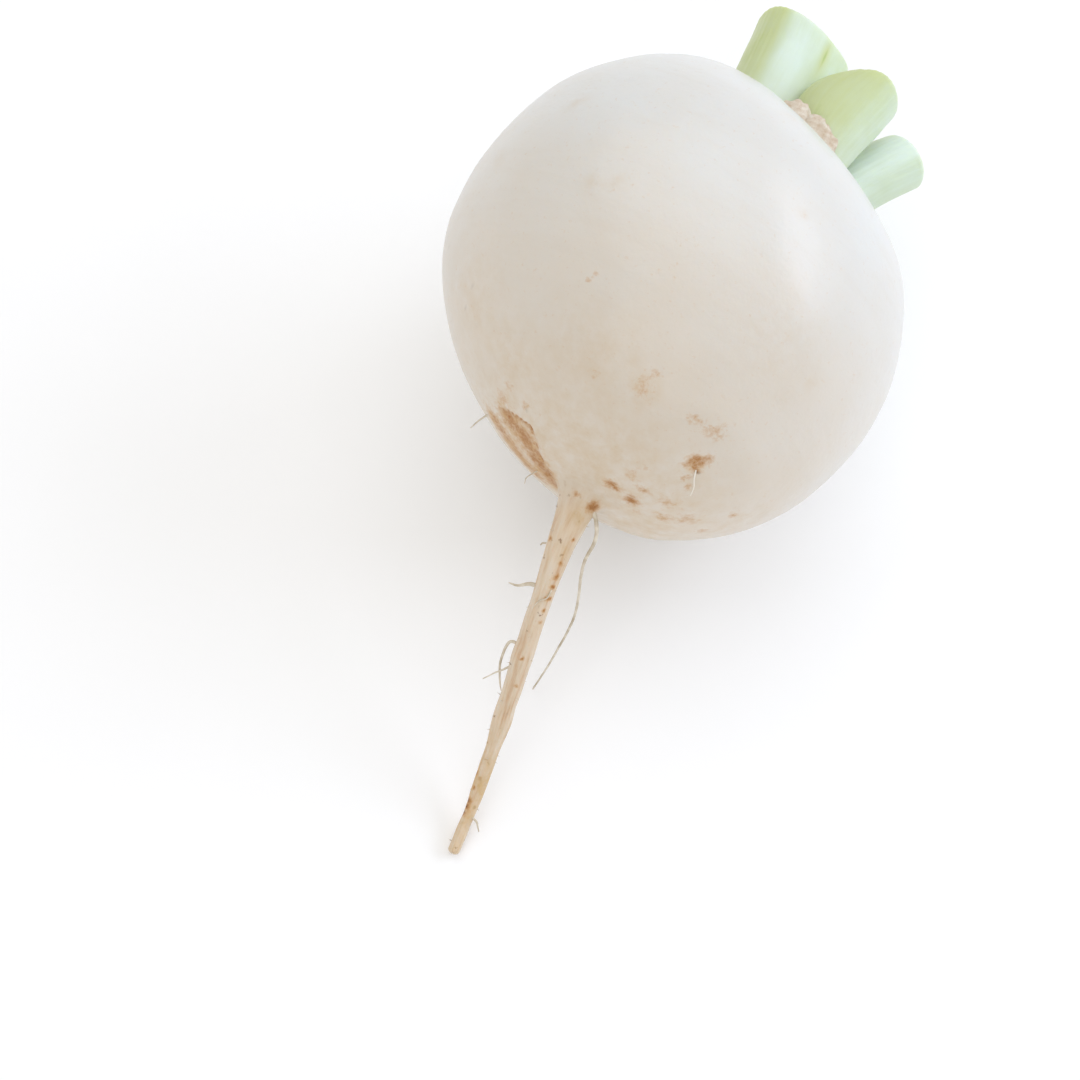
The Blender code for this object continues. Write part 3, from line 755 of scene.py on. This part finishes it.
def leaf_stalk(name, spec, greens_and_painted_highlights):
    """The stalk's mesh: the loft, a rounded edge at the cut, and the cut face drawn in to its middle."""
    foot, tip = stalk_frames(spec, np.array([0.0, 1.0]))[0]
    last_full = 1 - 1.8 * EDGE_ROUNDING / np.linalg.norm(tip - foot)
    t = np.concatenate([np.linspace(-FOOT_DEPTH, last_full, STALK_RINGS - EDGE_RINGS),
                        np.ones(EDGE_RINGS + CUT_RINGS)])
    points = stalk_points(spec, t)
    ahead = stalk_frames(spec, np.array([1.0]))[1][0]
    at_cut = np.array([1.0])
    for k in range(EDGE_RINGS):
        turned_in = math.radians(30 * k)
        shrink = 1 - ROUNDED_SHARE * (1 - math.cos(turned_in))
        ring = stalk_points(spec, at_cut, shrink)[0]
        points[STALK_RINGS - EDGE_RINGS + k] = ring + ahead * EDGE_ROUNDING * (math.sin(turned_in) - 1)
    for k in range(CUT_RINGS):
        share = (k + 1) / CUT_RINGS
        ring = stalk_points(spec, at_cut, (1 - ROUNDED_SHARE) * (1 - share) + 0.04 * share)[0]
        points[STALK_RINGS + k] = ring - ahead * CUT_DIP * math.sin(math.pi * min(share * 1.2, 1) / 2)
    faces = []
    count = len(t)
    for k in range(count - 1):
        band(k * STALK_SIDES, (k + 1) * STALK_SIDES, STALK_SIDES, faces)
    faces.append(tuple(range(STALK_SIDES))[::-1])
    faces.append(tuple((count - 1) * STALK_SIDES + i for i in range(STALK_SIDES)))
    flat = points.reshape(-1, 3)
    flat = flat + 0.10 * MM * np.column_stack([rough(flat, 4, seed) for seed in (11, 12, 13)])
    piece = mesh_object(name + "_flesh", flat, faces)

    turn = np.arange(STALK_SIDES) * math.tau / STALK_SIDES
    sideways = np.tile(np.cos(turn), (count, 1))
    outward = np.tile(np.sin(turn), (count, 1))
    share = np.tile(np.clip(t, 0, 1)[:, None], (1, STALK_SIDES))
    greenness_and_painted_highlight = np.interp(sideways, *zip(*greens_and_painted_highlights))
    if name == FOLDED_STALK:
        fold = np.exp(-((sideways - FOLD_PLACE[0]) / FOLD_SIZE[0]) ** 2
                      - ((share - FOLD_PLACE[1]) / FOLD_SIZE[1]) ** 2)
        greenness_and_painted_highlight += FOLD_GREEN * fold * (outward > 0)
    cut_share = np.tile(np.concatenate([np.zeros(STALK_RINGS - 2), np.full(CUT_RINGS + 2, 1.0)])[:, None],
                        (1, STALK_SIDES))
    store(piece.data, "greenness_and_painted_highlight", greenness_and_painted_highlight.ravel())
    store(piece.data, "cut_share", cut_share.ravel())
    store(piece.data, "foot_share", np.exp(-share / 0.16).ravel())
    store(piece.data, "fibres", np.column_stack([sideways.ravel() * 8 * MM, outward.ravel() * 4 * MM,
                                                 share.ravel() * 1.6 * MM]))
    return piece


stalks = {name: leaf_stalk(name, spec, GREENNESS_AND_PAINTED_HIGHLIGHT[name]) for name, spec in STALKS.items()}
print("stalks:", ", ".join(f"{name} {len(piece.data.vertices)} points" for name, piece in stalks.items()))

# %% [markdown]
# ## Waxy stalk skin
#
# A turnip's leaf stalk is pale, juicy and slightly waxy. Its colour runs from a yellow-green at one side
# to almost white along the rib. The near-white bands are partly the stalk's own pale colour and partly a
# painted highlight. Fine lines run along its fibres. The cut face is moist pale flesh. Light enters it
# deeply, so it has more subsurface scattering than the root.

# %% Stalk material
stalk_skin, tree, shader = new_material("waxy_leaf_stalk")
marks = {name: add_node(tree, "ShaderNodeAttribute", attribute_name=name).outputs["Fac"]
         for name in ("greenness_and_painted_highlight", "cut_share", "foot_share")}
fibres = add_node(tree, "ShaderNodeAttribute", attribute_name="fibres").outputs["Vector"]
place = add_node(tree, "ShaderNodeTexCoord").outputs["Object"]
lines = add_node(tree, "ShaderNodeTexNoise", {"Vector": fibres, "Scale": per_metre(0.9), "Detail": 5.0,
                                              "Roughness": 0.6})
clouds = add_node(tree, "ShaderNodeTexNoise", {"Vector": place, "Scale": per_metre(5), "Detail": 3.0})
line_shift = add_node(tree, "ShaderNodeMath", {0: lines.outputs["Fac"], 1: 0.28, 2: marks["greenness_and_painted_highlight"]},
                      operation="MULTIPLY_ADD")
cloud_shift = add_node(tree, "ShaderNodeMath", {0: clouds.outputs["Fac"], 1: 0.3, 2: line_shift.outputs[0]},
                       operation="MULTIPLY_ADD")
green = add_node(tree, "ShaderNodeMath", {0: cloud_shift.outputs[0], 1: 0.29}, operation="SUBTRACT",
                 use_clamp=True)
# The pale end of this ramp is partly the stalk's own pale colour and partly a painted highlight.
green_and_highlight_ramp = add_node(tree, "ShaderNodeValToRGB", {"Fac": green.outputs[0]})
green_and_highlight_ramp.color_ramp.elements[0].color = linear("#dae9dd")
green_and_highlight_ramp.color_ramp.elements[1].color = linear("#94b050")
for position, hex_colour in ((0.35, "#cad8b8"), (0.70, "#c4ce96")):
    green_and_highlight_ramp.color_ramp.elements.new(position).color = linear(hex_colour)
colour = add_node(tree, "ShaderNodeMix", {0: marks["foot_share"], 6: green_and_highlight_ramp.outputs["Color"],
                                          7: linear("#cfd8bd")}, data_type="RGBA").outputs[2]
flesh = add_node(tree, "ShaderNodeMix", {0: clouds.outputs["Fac"], 6: linear("#d9e0c8"),
                                         7: linear("#c6d3aa")}, data_type="RGBA").outputs[2]
colour = add_node(tree, "ShaderNodeMix", {0: marks["cut_share"], 6: colour, 7: flesh},
                  data_type="RGBA").outputs[2]
line_bump = add_node(tree, "ShaderNodeBump", {"Height": lines.outputs["Fac"], "Strength": 0.35,
                                              "Distance": 0.2 * MM})
wax = add_node(tree, "ShaderNodeMapRange", {"Value": clouds.outputs["Fac"], "To Min": 0.28, "To Max": 0.48})
tree.links.new(colour, shader.inputs["Base Color"])
tree.links.new(wax.outputs[0], shader.inputs["Roughness"])
tree.links.new(line_bump.outputs[0], shader.inputs["Normal"])
shader.inputs["IOR"].default_value = 1.42
shader.inputs["Subsurface Weight"].default_value = 0.30
shader.inputs["Subsurface Radius"].default_value = (1.0, 1.0, 0.45)
shader.inputs["Subsurface Scale"].default_value = 2.5 * MM
for piece in stalks.values():
    piece.data.materials.append(stalk_skin)

# %% [markdown]
# ## Dried leaf bases
#
# Where an outer leaf has fallen, its base dries to a beige-brown papery scale at the rim of the crown.
# Each is a small cap with torn, crumpled relief. Noise of about a millimetre does the crumpling.

# %% Dried leaf bases
# (x, z) on the crown, half width, half height and rise, all in mm.
OLD_LEAF_BASES = {"old_leaf_base_1": (2.2, 52.2, 4.2, 2.2, 5.0),
                  "old_leaf_base_2": (7.4, 53.2, 4.0, 2.0, 5.2)}
SCALE_SINK = 0.4 * MM


def dried_scale(name, spec, seed):
    """A crumpled cap whose rim is sunk into the crown."""
    x, z, half_width, half_height, rise = (value * MM for value in spec)
    bm = bmesh.new()
    bmesh.ops.create_uvsphere(bm, u_segments=64, v_segments=40, radius=1.0)
    for vert in bm.verts:
        across, up, out = vert.co
        tear = noise.noise(Vector((across * 2.2, up * 2.2, out * 2.0)) + Vector((seed, 0, 0)))
        crumple = noise.noise(Vector((across * 5.5, up * 5.5, out * 4.0)) + Vector((0, seed, 0)))
        width = 1 + 0.16 * tear
        place = (x + half_width * across * width, z - half_height * up * width)
        above = rise * max(out, 0.0) ** 0.8 * (1 + 0.34 * tear + 0.04 * crumple)
        below = SCALE_SINK * (1 - min(out, 0.0))
        vert.co = (place[0], crown_height(*place) + above - below, place[1])
    mesh = bpy.data.meshes.new(name)
    bm.to_mesh(mesh)
    bm.free()
    mesh.shade_smooth()
    piece = bpy.data.objects.new(name, mesh)
    bpy.context.scene.collection.objects.link(piece)
    return piece


scales = {name: dried_scale(name + "_scale", spec, seed)
          for seed, (name, spec) in enumerate(OLD_LEAF_BASES.items(), start=3)}

dry_scale, tree, shader = new_material("dry_papery_leaf_base")
place = add_node(tree, "ShaderNodeTexCoord").outputs["Object"]
crumple = add_node(tree, "ShaderNodeTexNoise", {"Vector": place, "Scale": per_metre(1.4), "Detail": 6.0,
                                                "Roughness": 0.65})
paper = add_node(tree, "ShaderNodeValToRGB", {"Fac": crumple.outputs["Fac"]})
paper.color_ramp.elements[0].position = 0.32
paper.color_ramp.elements[0].color = linear("#c3ad92")
paper.color_ramp.elements[1].position = 0.62
paper.color_ramp.elements[1].color = linear("#ded5c6")
paper_bump = add_node(tree, "ShaderNodeBump", {"Height": crumple.outputs["Fac"], "Strength": 0.4,
                                               "Distance": 0.25 * MM})
tree.links.new(paper.outputs["Color"], shader.inputs["Base Color"])
tree.links.new(paper_bump.outputs[0], shader.inputs["Normal"])
shader.inputs["Roughness"].default_value = 0.75
for piece in scales.values():
    piece.data.materials.append(dry_scale)
print("dried leaf bases:", ", ".join(scales))

# %% [markdown]
# ## Side roots
#
# Fine side roots leave the taproot. They are thin, dry and kinked. Each could be a bevelled curve, but a
# node tree can also kink them: it turns a chain of points into a curve, shifts it by noise, and sweeps a
# small circle along it whose size is read from each point. The result is then kept as a plain mesh.

# %% Side root paths (mm) and thickness at the start and the end
SIDE_ROOTS = {
    "side_root_long": ([(6.5, -41, 40), (8, -42, 38.5), (9, -44, 35), (8.5, -47, 29), (10, -52, 18),
                        (9, -58, 7), (8, -63, 1)], 0.42, 0.15),
    "side_root_spike": ([(5, -55, 32.5), (3, -55.5, 32.5), (1.5, -57, 33), (0, -57.5, 33.5)], 0.50, 0.10),
    "side_root_fork": ([(6, -63.5, 24.5), (4, -64, 24.5), (4, -67, 21.5), (5, -69, 18), (5.5, -69.5, 14.5)],
                       0.32, 0.12),
    "side_root_tip": ([(11, -89, 3), (12.5, -89.5, 3.5), (13, -90, 3), (13.5, -90.5, 2)], 0.25, 0.10),
    "fine_fork_arm": ([(6.5, -66, 22), (5, -68, 21), (4, -69, 20.5), (2.5, -70.5, 19)], 0.22, 0.10),
    "fine_flank_hair": ([(-17.5, -33, 37.5), (-19, -35.5, 36.5), (-20, -37, 34.5)], 0.22, 0.08),
    "fine_neck_spur": ([(4.5, -48.5, 36.5), (2, -49, 36), (1.5, -49.5, 35.5)], 0.25, 0.10),
    "fine_pale_hair": ([(20, -30.5, 54.5), (20.5, -32, 53), (21, -33, 52), (21, -34, 50.5)], 0.16, 0.07),
    "fine_lying_hair": ([(7, -55, 34), (7, -56.5, 33.5), (6, -57.5, 33), (5.5, -59, 32)], 0.16, 0.08),
    "fine_strip_hair": ([(-5, -38, 37.5), (-6.5, -40.5, 37), (-6.5, -41.5, 36)], 0.14, 0.06),
}
ROOT_POINT_SPACING = 0.35 * MM


# %% The start and the end that every node tree shares
def new_geometry_tree(name, **inputs):
    """A geometry node tree with the named inputs, and the sockets that carry them."""
    tree = bpy.data.node_groups.new(name, "GeometryNodeTree")
    for label, kind in (("Geometry", "Geometry"), *inputs.items(), ("Material", "Material")):
        tree.interface.new_socket(label.replace("_", " "), in_out="INPUT", socket_type="NodeSocket" + kind)
    tree.interface.new_socket("Geometry", in_out="OUTPUT", socket_type="NodeSocketGeometry")
    return tree, add_node(tree, "NodeGroupInput").outputs


def close_geometry_tree(tree, geometry, material):
    """Makes the result real, gives it its material and sends it out."""
    real = add_node(tree, "GeometryNodeRealizeInstances", {"Geometry": geometry})
    painted = add_node(tree, "GeometryNodeSetMaterial", {"Geometry": real.outputs[0], "Material": material})
    add_node(tree, "NodeGroupOutput", {0: painted.outputs[0]})
    return tree


# %% Node tree that sweeps a side root
def side_root_tree():
    """Chain of points in, swept and kinked root out."""
    tree, given = new_geometry_tree("side_root", Sides="Int", Kink_Size="Float", Kink_Length="Float",
                                    Seed="Float")
    curve = add_node(tree, "GeometryNodeMeshToCurve", {"Mesh": given["Geometry"]})
    thickness = add_node(tree, "GeometryNodeInputNamedAttribute", {"Name": "thickness"}, data_type="FLOAT")
    place = add_node(tree, "GeometryNodeInputPosition")
    scaled = add_node(tree, "ShaderNodeVectorMath", {0: place.outputs[0], "Scale": given["Kink Length"]},
                      operation="SCALE")
    kink = add_node(tree, "ShaderNodeTexNoise", {"Vector": scaled.outputs[0], "W": given["Seed"],
                                                 "Scale": 1.0, "Detail": 2.0}, noise_dimensions="4D")
    centred = add_node(tree, "ShaderNodeVectorMath", {0: kink.outputs["Color"], 1: (0.5, 0.5, 0.5)},
                       operation="SUBTRACT")
    free = add_node(tree, "GeometryNodeInputNamedAttribute", {"Name": "freedom"}, data_type="FLOAT")
    strength = add_node(tree, "ShaderNodeMath", {0: given["Kink Size"], 1: free.outputs["Attribute"]},
                        operation="MULTIPLY")
    offset = add_node(tree, "ShaderNodeVectorMath", {0: centred.outputs[0], "Scale": strength.outputs[0]},
                      operation="SCALE")
    kinked = add_node(tree, "GeometryNodeSetPosition", {"Geometry": curve.outputs[0],
                                                        "Offset": offset.outputs[0]})
    circle = add_node(tree, "GeometryNodeCurvePrimitiveCircle", {"Resolution": given["Sides"], "Radius": 1.0})
    swept = add_node(tree, "GeometryNodeCurveToMesh", {"Curve": kinked.outputs[0],
                                                       "Profile Curve": circle.outputs[0],
                                                       "Scale": thickness.outputs["Attribute"],
                                                       "Fill Caps": True})
    return close_geometry_tree(tree, swept.outputs[0], given["Material"])


def run_nodes(piece, tree, values):
    """Runs the tree on the piece with the named inputs, and keeps the result as a plain mesh."""
    modifier = piece.modifiers.new("nodes", "NODES")
    modifier.node_group = tree
    sockets = {item.name: item.identifier for item in tree.interface.items_tree if item.in_out == "INPUT"}
    for name, value in values.items():
        modifier[sockets[name]] = value
    bpy.context.view_layer.update()
    graph = bpy.context.evaluated_depsgraph_get()
    plain = bpy.data.meshes.new_from_object(piece.evaluated_get(graph))
    piece.modifiers.remove(modifier)
    piece.data = plain
    plain.name = piece.name
    plain.shade_smooth()
    return piece


# %% Dry rootlet material and the side roots
dry_root, tree, shader = new_material("dry_side_root")
place = add_node(tree, "ShaderNodeTexCoord").outputs["Object"]
bands = add_node(tree, "ShaderNodeTexNoise", {"Vector": place, "Scale": per_metre(2.2), "Detail": 4.0})
root_colour = add_node(tree, "ShaderNodeValToRGB", {"Fac": bands.outputs["Fac"]})
root_colour.color_ramp.elements[0].position = 0.35
root_colour.color_ramp.elements[0].color = linear("#bfb199")
root_colour.color_ramp.elements[1].position = 0.60
root_colour.color_ramp.elements[1].color = linear("#e3dac9")
tree.links.new(root_colour.outputs["Color"], shader.inputs["Base Color"])
shader.inputs["Roughness"].default_value = 0.6

# A fresh hair root is moist and nearly white.
fresh_root, tree, shader = new_material("fresh_pale_hair_root")
place = add_node(tree, "ShaderNodeTexCoord").outputs["Object"]
bands = add_node(tree, "ShaderNodeTexNoise", {"Vector": place, "Scale": per_metre(1.5)})
fresh_colour = add_node(tree, "ShaderNodeMix", {0: bands.outputs["Fac"], 6: linear("#f4efe6"),
                                                7: linear("#e6dccb")}, data_type="RGBA")
tree.links.new(fresh_colour.outputs[2], shader.inputs["Base Color"])
shader.inputs["Roughness"].default_value = 0.4
FRESH_ROOTS = ("fine_pale_hair",)

rootlet_tree = side_root_tree()


def side_root(name, spec, seed):
    """One side root, from its path and its thickness."""
    path, start_radius, end_radius = spec
    length = lengths_along(smooth_route(np.array(path) * MM, 200))[-1]
    points = smooth_route(np.array(path) * MM, max(8, round(length / ROOT_POINT_SPACING)))
    mesh = bpy.data.meshes.new(name)
    mesh.from_pydata([tuple(p) for p in points], [(i, i + 1) for i in range(len(points) - 1)], [])
    share = np.linspace(0, 1, len(points))
    store(mesh, "thickness", (start_radius + (end_radius - start_radius) * share) * MM)
    store(mesh, "freedom", smooth_step(share, 0.0, 0.25))
    piece = bpy.data.objects.new(name, mesh)
    bpy.context.scene.collection.objects.link(piece)
    return run_nodes(piece, rootlet_tree, {"Sides": 10, "Kink Size": 0.28 * MM, "Kink Length": per_metre(4),
                                           "Seed": float(seed),
                                           "Material": fresh_root if name in FRESH_ROOTS else dry_root})


side_roots = {name: side_root(name + "_fibre" if name.startswith("side") else name, spec, seed)
              for seed, (name, spec) in enumerate(SIDE_ROOTS.items())}
print("side roots:", ", ".join(f"{name} {len(piece.data.polygons)}" for name, piece in side_roots.items()))

# %% [markdown]
# ## Fine hairs on the taproot
#
# The taproot carries the stubs of tiny hair roots, each well under a millimetre long. Placing them by
# hand would be slow, and they follow a simple rule: they stand on the root's skin and not on the bulb. A
# node tree scatters points on the skin, thinned out by the stored root share, and puts a small cone on
# each.

# %% Node tree that scatters hairs
HAIR_DENSITY = 70000.0  # hairs for each square metre of root skin
HAIR_LENGTH = 0.75 * MM
HAIR_RADIUS = 0.09 * MM
HAIR_SIDES = 5
HAIR_SEED = 5
HAIR_TILT = 0.7            # radians, either way


def root_hair_tree():
    """Skin in, small cones that stand on the root out."""
    tree, given = new_geometry_tree("root_hairs", Density="Float", Length="Float", Radius="Float",
                                    Seed="Int")
    root_only = add_node(tree, "GeometryNodeInputNamedAttribute", {"Name": "root_share"}, data_type="FLOAT")
    density = add_node(tree, "ShaderNodeMath", {0: root_only.outputs["Attribute"], 1: given["Density"]},
                       operation="MULTIPLY")
    scattered = add_node(tree, "GeometryNodeDistributePointsOnFaces",
                         {"Mesh": given["Geometry"], "Density": density.outputs[0], "Seed": given["Seed"]})
    hair = add_node(tree, "GeometryNodeMeshCone",
                    {"Vertices": HAIR_SIDES, "Radius Top": 0.0, "Radius Bottom": given["Radius"],
                     "Depth": given["Length"]})
    tilt = add_node(tree, "FunctionNodeRandomValue", {0: (-HAIR_TILT, -HAIR_TILT, 0.0),
                                                      1: (HAIR_TILT, HAIR_TILT, 6.28),
                                                      "Seed": given["Seed"]}, data_type="FLOAT_VECTOR")
    turn = add_node(tree, "FunctionNodeRotateRotation",
                    {"Rotation": scattered.outputs["Rotation"], "Rotate By": tilt.outputs[0]},
                    rotation_space="LOCAL")
    size = add_node(tree, "FunctionNodeRandomValue", {2: 0.25, 3: 1.0, "Seed": given["Seed"]},
                    data_type="FLOAT")
    placed = add_node(tree, "GeometryNodeInstanceOnPoints",
                      {"Points": scattered.outputs["Points"], "Instance": hair.outputs["Mesh"],
                       "Rotation": turn.outputs[0], "Scale": size.outputs[1]})
    return close_geometry_tree(tree, placed.outputs[0], given["Material"])


root_hairs = bpy.data.objects.new("root_hairs", body.data.copy())
bpy.context.scene.collection.objects.link(root_hairs)
run_nodes(root_hairs, root_hair_tree(), {"Density": HAIR_DENSITY, "Length": HAIR_LENGTH, "Seed": HAIR_SEED,
                                         "Radius": HAIR_RADIUS, "Material": dry_root})
print("root hairs:", len(root_hairs.data.polygons) // (HAIR_SIDES + 1))

# %% [markdown]
# ## Vessels in the cut stalks
#
# Where a leaf stalk is cut, its water vessels show as a row of small darker dots, set in a curve that
# follows its outline. One node tree puts a flat bead on each point of that curve, and all five stalks
# share it.

# %% Vessel dots
DOT_RADIUS = 0.42 * MM
DOTS_FOR_EACH_STALK = 11


def vessel_tree():
    """Points in, flat beads out."""
    tree, given = new_geometry_tree("vessel_dots", Radius="Float")
    points = add_node(tree, "GeometryNodeMeshToPoints", {"Mesh": given["Geometry"]})
    bead = add_node(tree, "GeometryNodeMeshUVSphere", {"Segments": 10, "Rings": 6, "Radius": given["Radius"]})
    heading = add_node(tree, "GeometryNodeInputNamedAttribute", {"Name": "heading"}, data_type="FLOAT_VECTOR")
    facing = add_node(tree, "FunctionNodeAlignRotationToVector", {"Vector": heading.outputs["Attribute"]},
                      axis="Z")
    placed = add_node(tree, "GeometryNodeInstanceOnPoints",
                      {"Points": points.outputs[0], "Instance": bead.outputs["Mesh"],
                       "Rotation": facing.outputs[0], "Scale": (1.0, 0.7, 0.3)})
    return close_geometry_tree(tree, placed.outputs[0], given["Material"])


# Vessel tissue: fibrous and a little greener than the flesh round it.
vessel, tree, shader = new_material("green_vessel_tissue")
place = add_node(tree, "ShaderNodeTexCoord").outputs["Object"]
tissue = add_node(tree, "ShaderNodeTexNoise", {"Vector": place, "Scale": per_metre(0.6), "Detail": 3.0})
tissue_colour = add_node(tree, "ShaderNodeMix", {0: tissue.outputs["Fac"], 6: linear("#9fb56c"),
                                                 7: linear("#c0cf9a")}, data_type="RGBA")
tree.links.new(tissue_colour.outputs[2], shader.inputs["Base Color"])
shader.inputs["Roughness"].default_value = 0.45

dot_places, dot_headings = [], []
for name in ("leaf_stalk_1", "leaf_stalk_2", "leaf_stalk_3", "leaf_stalk_4", "leaf_stalk_5"):
    mesh_points = np.empty(len(stalks[name].data.vertices) * 3)
    stalks[name].data.vertices.foreach_get("co", mesh_points)
    ring = mesh_points.reshape(-1, STALK_SIDES, 3)[STALK_RINGS + CUT_RINGS // 3]
    picks = np.linspace(STALK_SIDES * 0.02, STALK_SIDES * 0.48, DOTS_FOR_EACH_STALK).round().astype(int)
    dot_places.append(ring[picks])
    ahead = stalk_frames(STALKS[name], np.array([1.0]))[1][0]
    dot_headings.append(np.tile(ahead, (DOTS_FOR_EACH_STALK, 1)))
dot_mesh = bpy.data.meshes.new("vessel_dots")
dot_mesh.from_pydata([tuple(p) for p in np.concatenate(dot_places)], [], [])
store(dot_mesh, "heading", np.concatenate(dot_headings))
vessel_dots = bpy.data.objects.new("vessel_dots", dot_mesh)
bpy.context.scene.collection.objects.link(vessel_dots)
run_nodes(vessel_dots, vessel_tree(), {"Radius": DOT_RADIUS, "Material": vessel})
print("vessel dots:", len(dot_mesh.vertices), "points,", len(vessel_dots.data.polygons), "faces")

# %% [markdown]
# ## The surface under the turnip, and the light
#
# The turnip lies on plain white board under soft light. A large pale panel high on the right gives the
# cool sheen on the bulb's shoulder, a broad panel overhead fills the top, a small weak one in front lifts
# the taproot, and a white sky keeps the shadows light. The plain Standard view keeps whites white.

# %% Floor
floor_mesh = bpy.data.meshes.new("floor")
floor_mesh.from_pydata([(-1.5, -1.5, 0), (1.5, -1.5, 0), (1.5, 1.5, 0), (-1.5, 1.5, 0)], [], [(0, 1, 2, 3)])
floor = bpy.data.objects.new("floor", floor_mesh)
bpy.context.scene.collection.objects.link(floor)
board, tree, shader = new_material("plain_white_board")
place = add_node(tree, "ShaderNodeTexCoord").outputs["Object"]
board_noise = add_node(tree, "ShaderNodeTexNoise", {"Vector": place, "Scale": per_metre(40)})
board_colour = add_node(tree, "ShaderNodeMix", {0: board_noise.outputs["Fac"], 6: linear("#ffffff"),
                                                7: linear("#fcfcfc")}, data_type="RGBA")
tree.links.new(board_colour.outputs[2], shader.inputs["Base Color"])
shader.inputs["Roughness"].default_value = 0.9
shader.inputs["Specular IOR Level"].default_value = 0.1
floor.data.materials.append(board)


# %% Lights
def panel(name, direction, distance, width, height, power, hex_colour):
    """A soft rectangular light that looks at the bulb."""
    light = bpy.data.lights.new(name, "AREA")
    light.shape = "RECTANGLE"
    light.size = width
    light.size_y = height
    light.energy = power
    light.color = linear(hex_colour)[:3]
    lamp = bpy.data.objects.new(name, light)
    heading = Vector(direction).normalized()
    lamp.location = Vector((0, 0, BULB_LIFT)) + heading * distance
    lamp.rotation_euler = heading.to_track_quat("Z", "Y").to_euler()
    bpy.context.scene.collection.objects.link(lamp)
    return lamp


panel("window_panel", (0.63, 0.60, 0.50), 0.9, 0.80, 0.38, 3.4, "#e4edff")
panel("overhead_panel", (-0.25, 0.38, 0.86), 1.4, 1.7, 1.7, 6.8, "#fffefd")
panel("front_fill", (0.10, -0.75, 0.62), 1.1, 0.8, 0.8, 1.8, "#fffefc")
world = bpy.data.worlds.new("white_sky")
world.use_nodes = True
world.node_tree.nodes["Background"].inputs["Color"].default_value = linear("#ffffff")
world.node_tree.nodes["Background"].inputs["Strength"].default_value = 0.65
bpy.context.scene.world = world
bpy.context.scene.view_settings.view_transform = "Standard"

# %% [markdown]
# ## Join the pieces to the frame
#
# Every piece rides on the one body of this part. Pieces that stand
# for a construction node hide it.

# %% Ride and replace
def fit(piece, slot, *nodes):
    """The piece rides on the root body and stands for the given nodes. The slot is not used."""
    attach(piece, "root")
    if nodes:
        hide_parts(*nodes)


fit(body, "turnip_skin", "bulb_and_taproot")
fit(root_hairs, "side_root")
fit(vessel_dots, "leaf_stalk")
for name, piece in stalks.items():
    fit(piece, "leaf_stalk", name)
for name, piece in scales.items():
    fit(piece, "dry_leaf_base", name)
for name, piece in side_roots.items():
    fit(piece, "side_root", *([name] if name in frame["nodes"] else []))
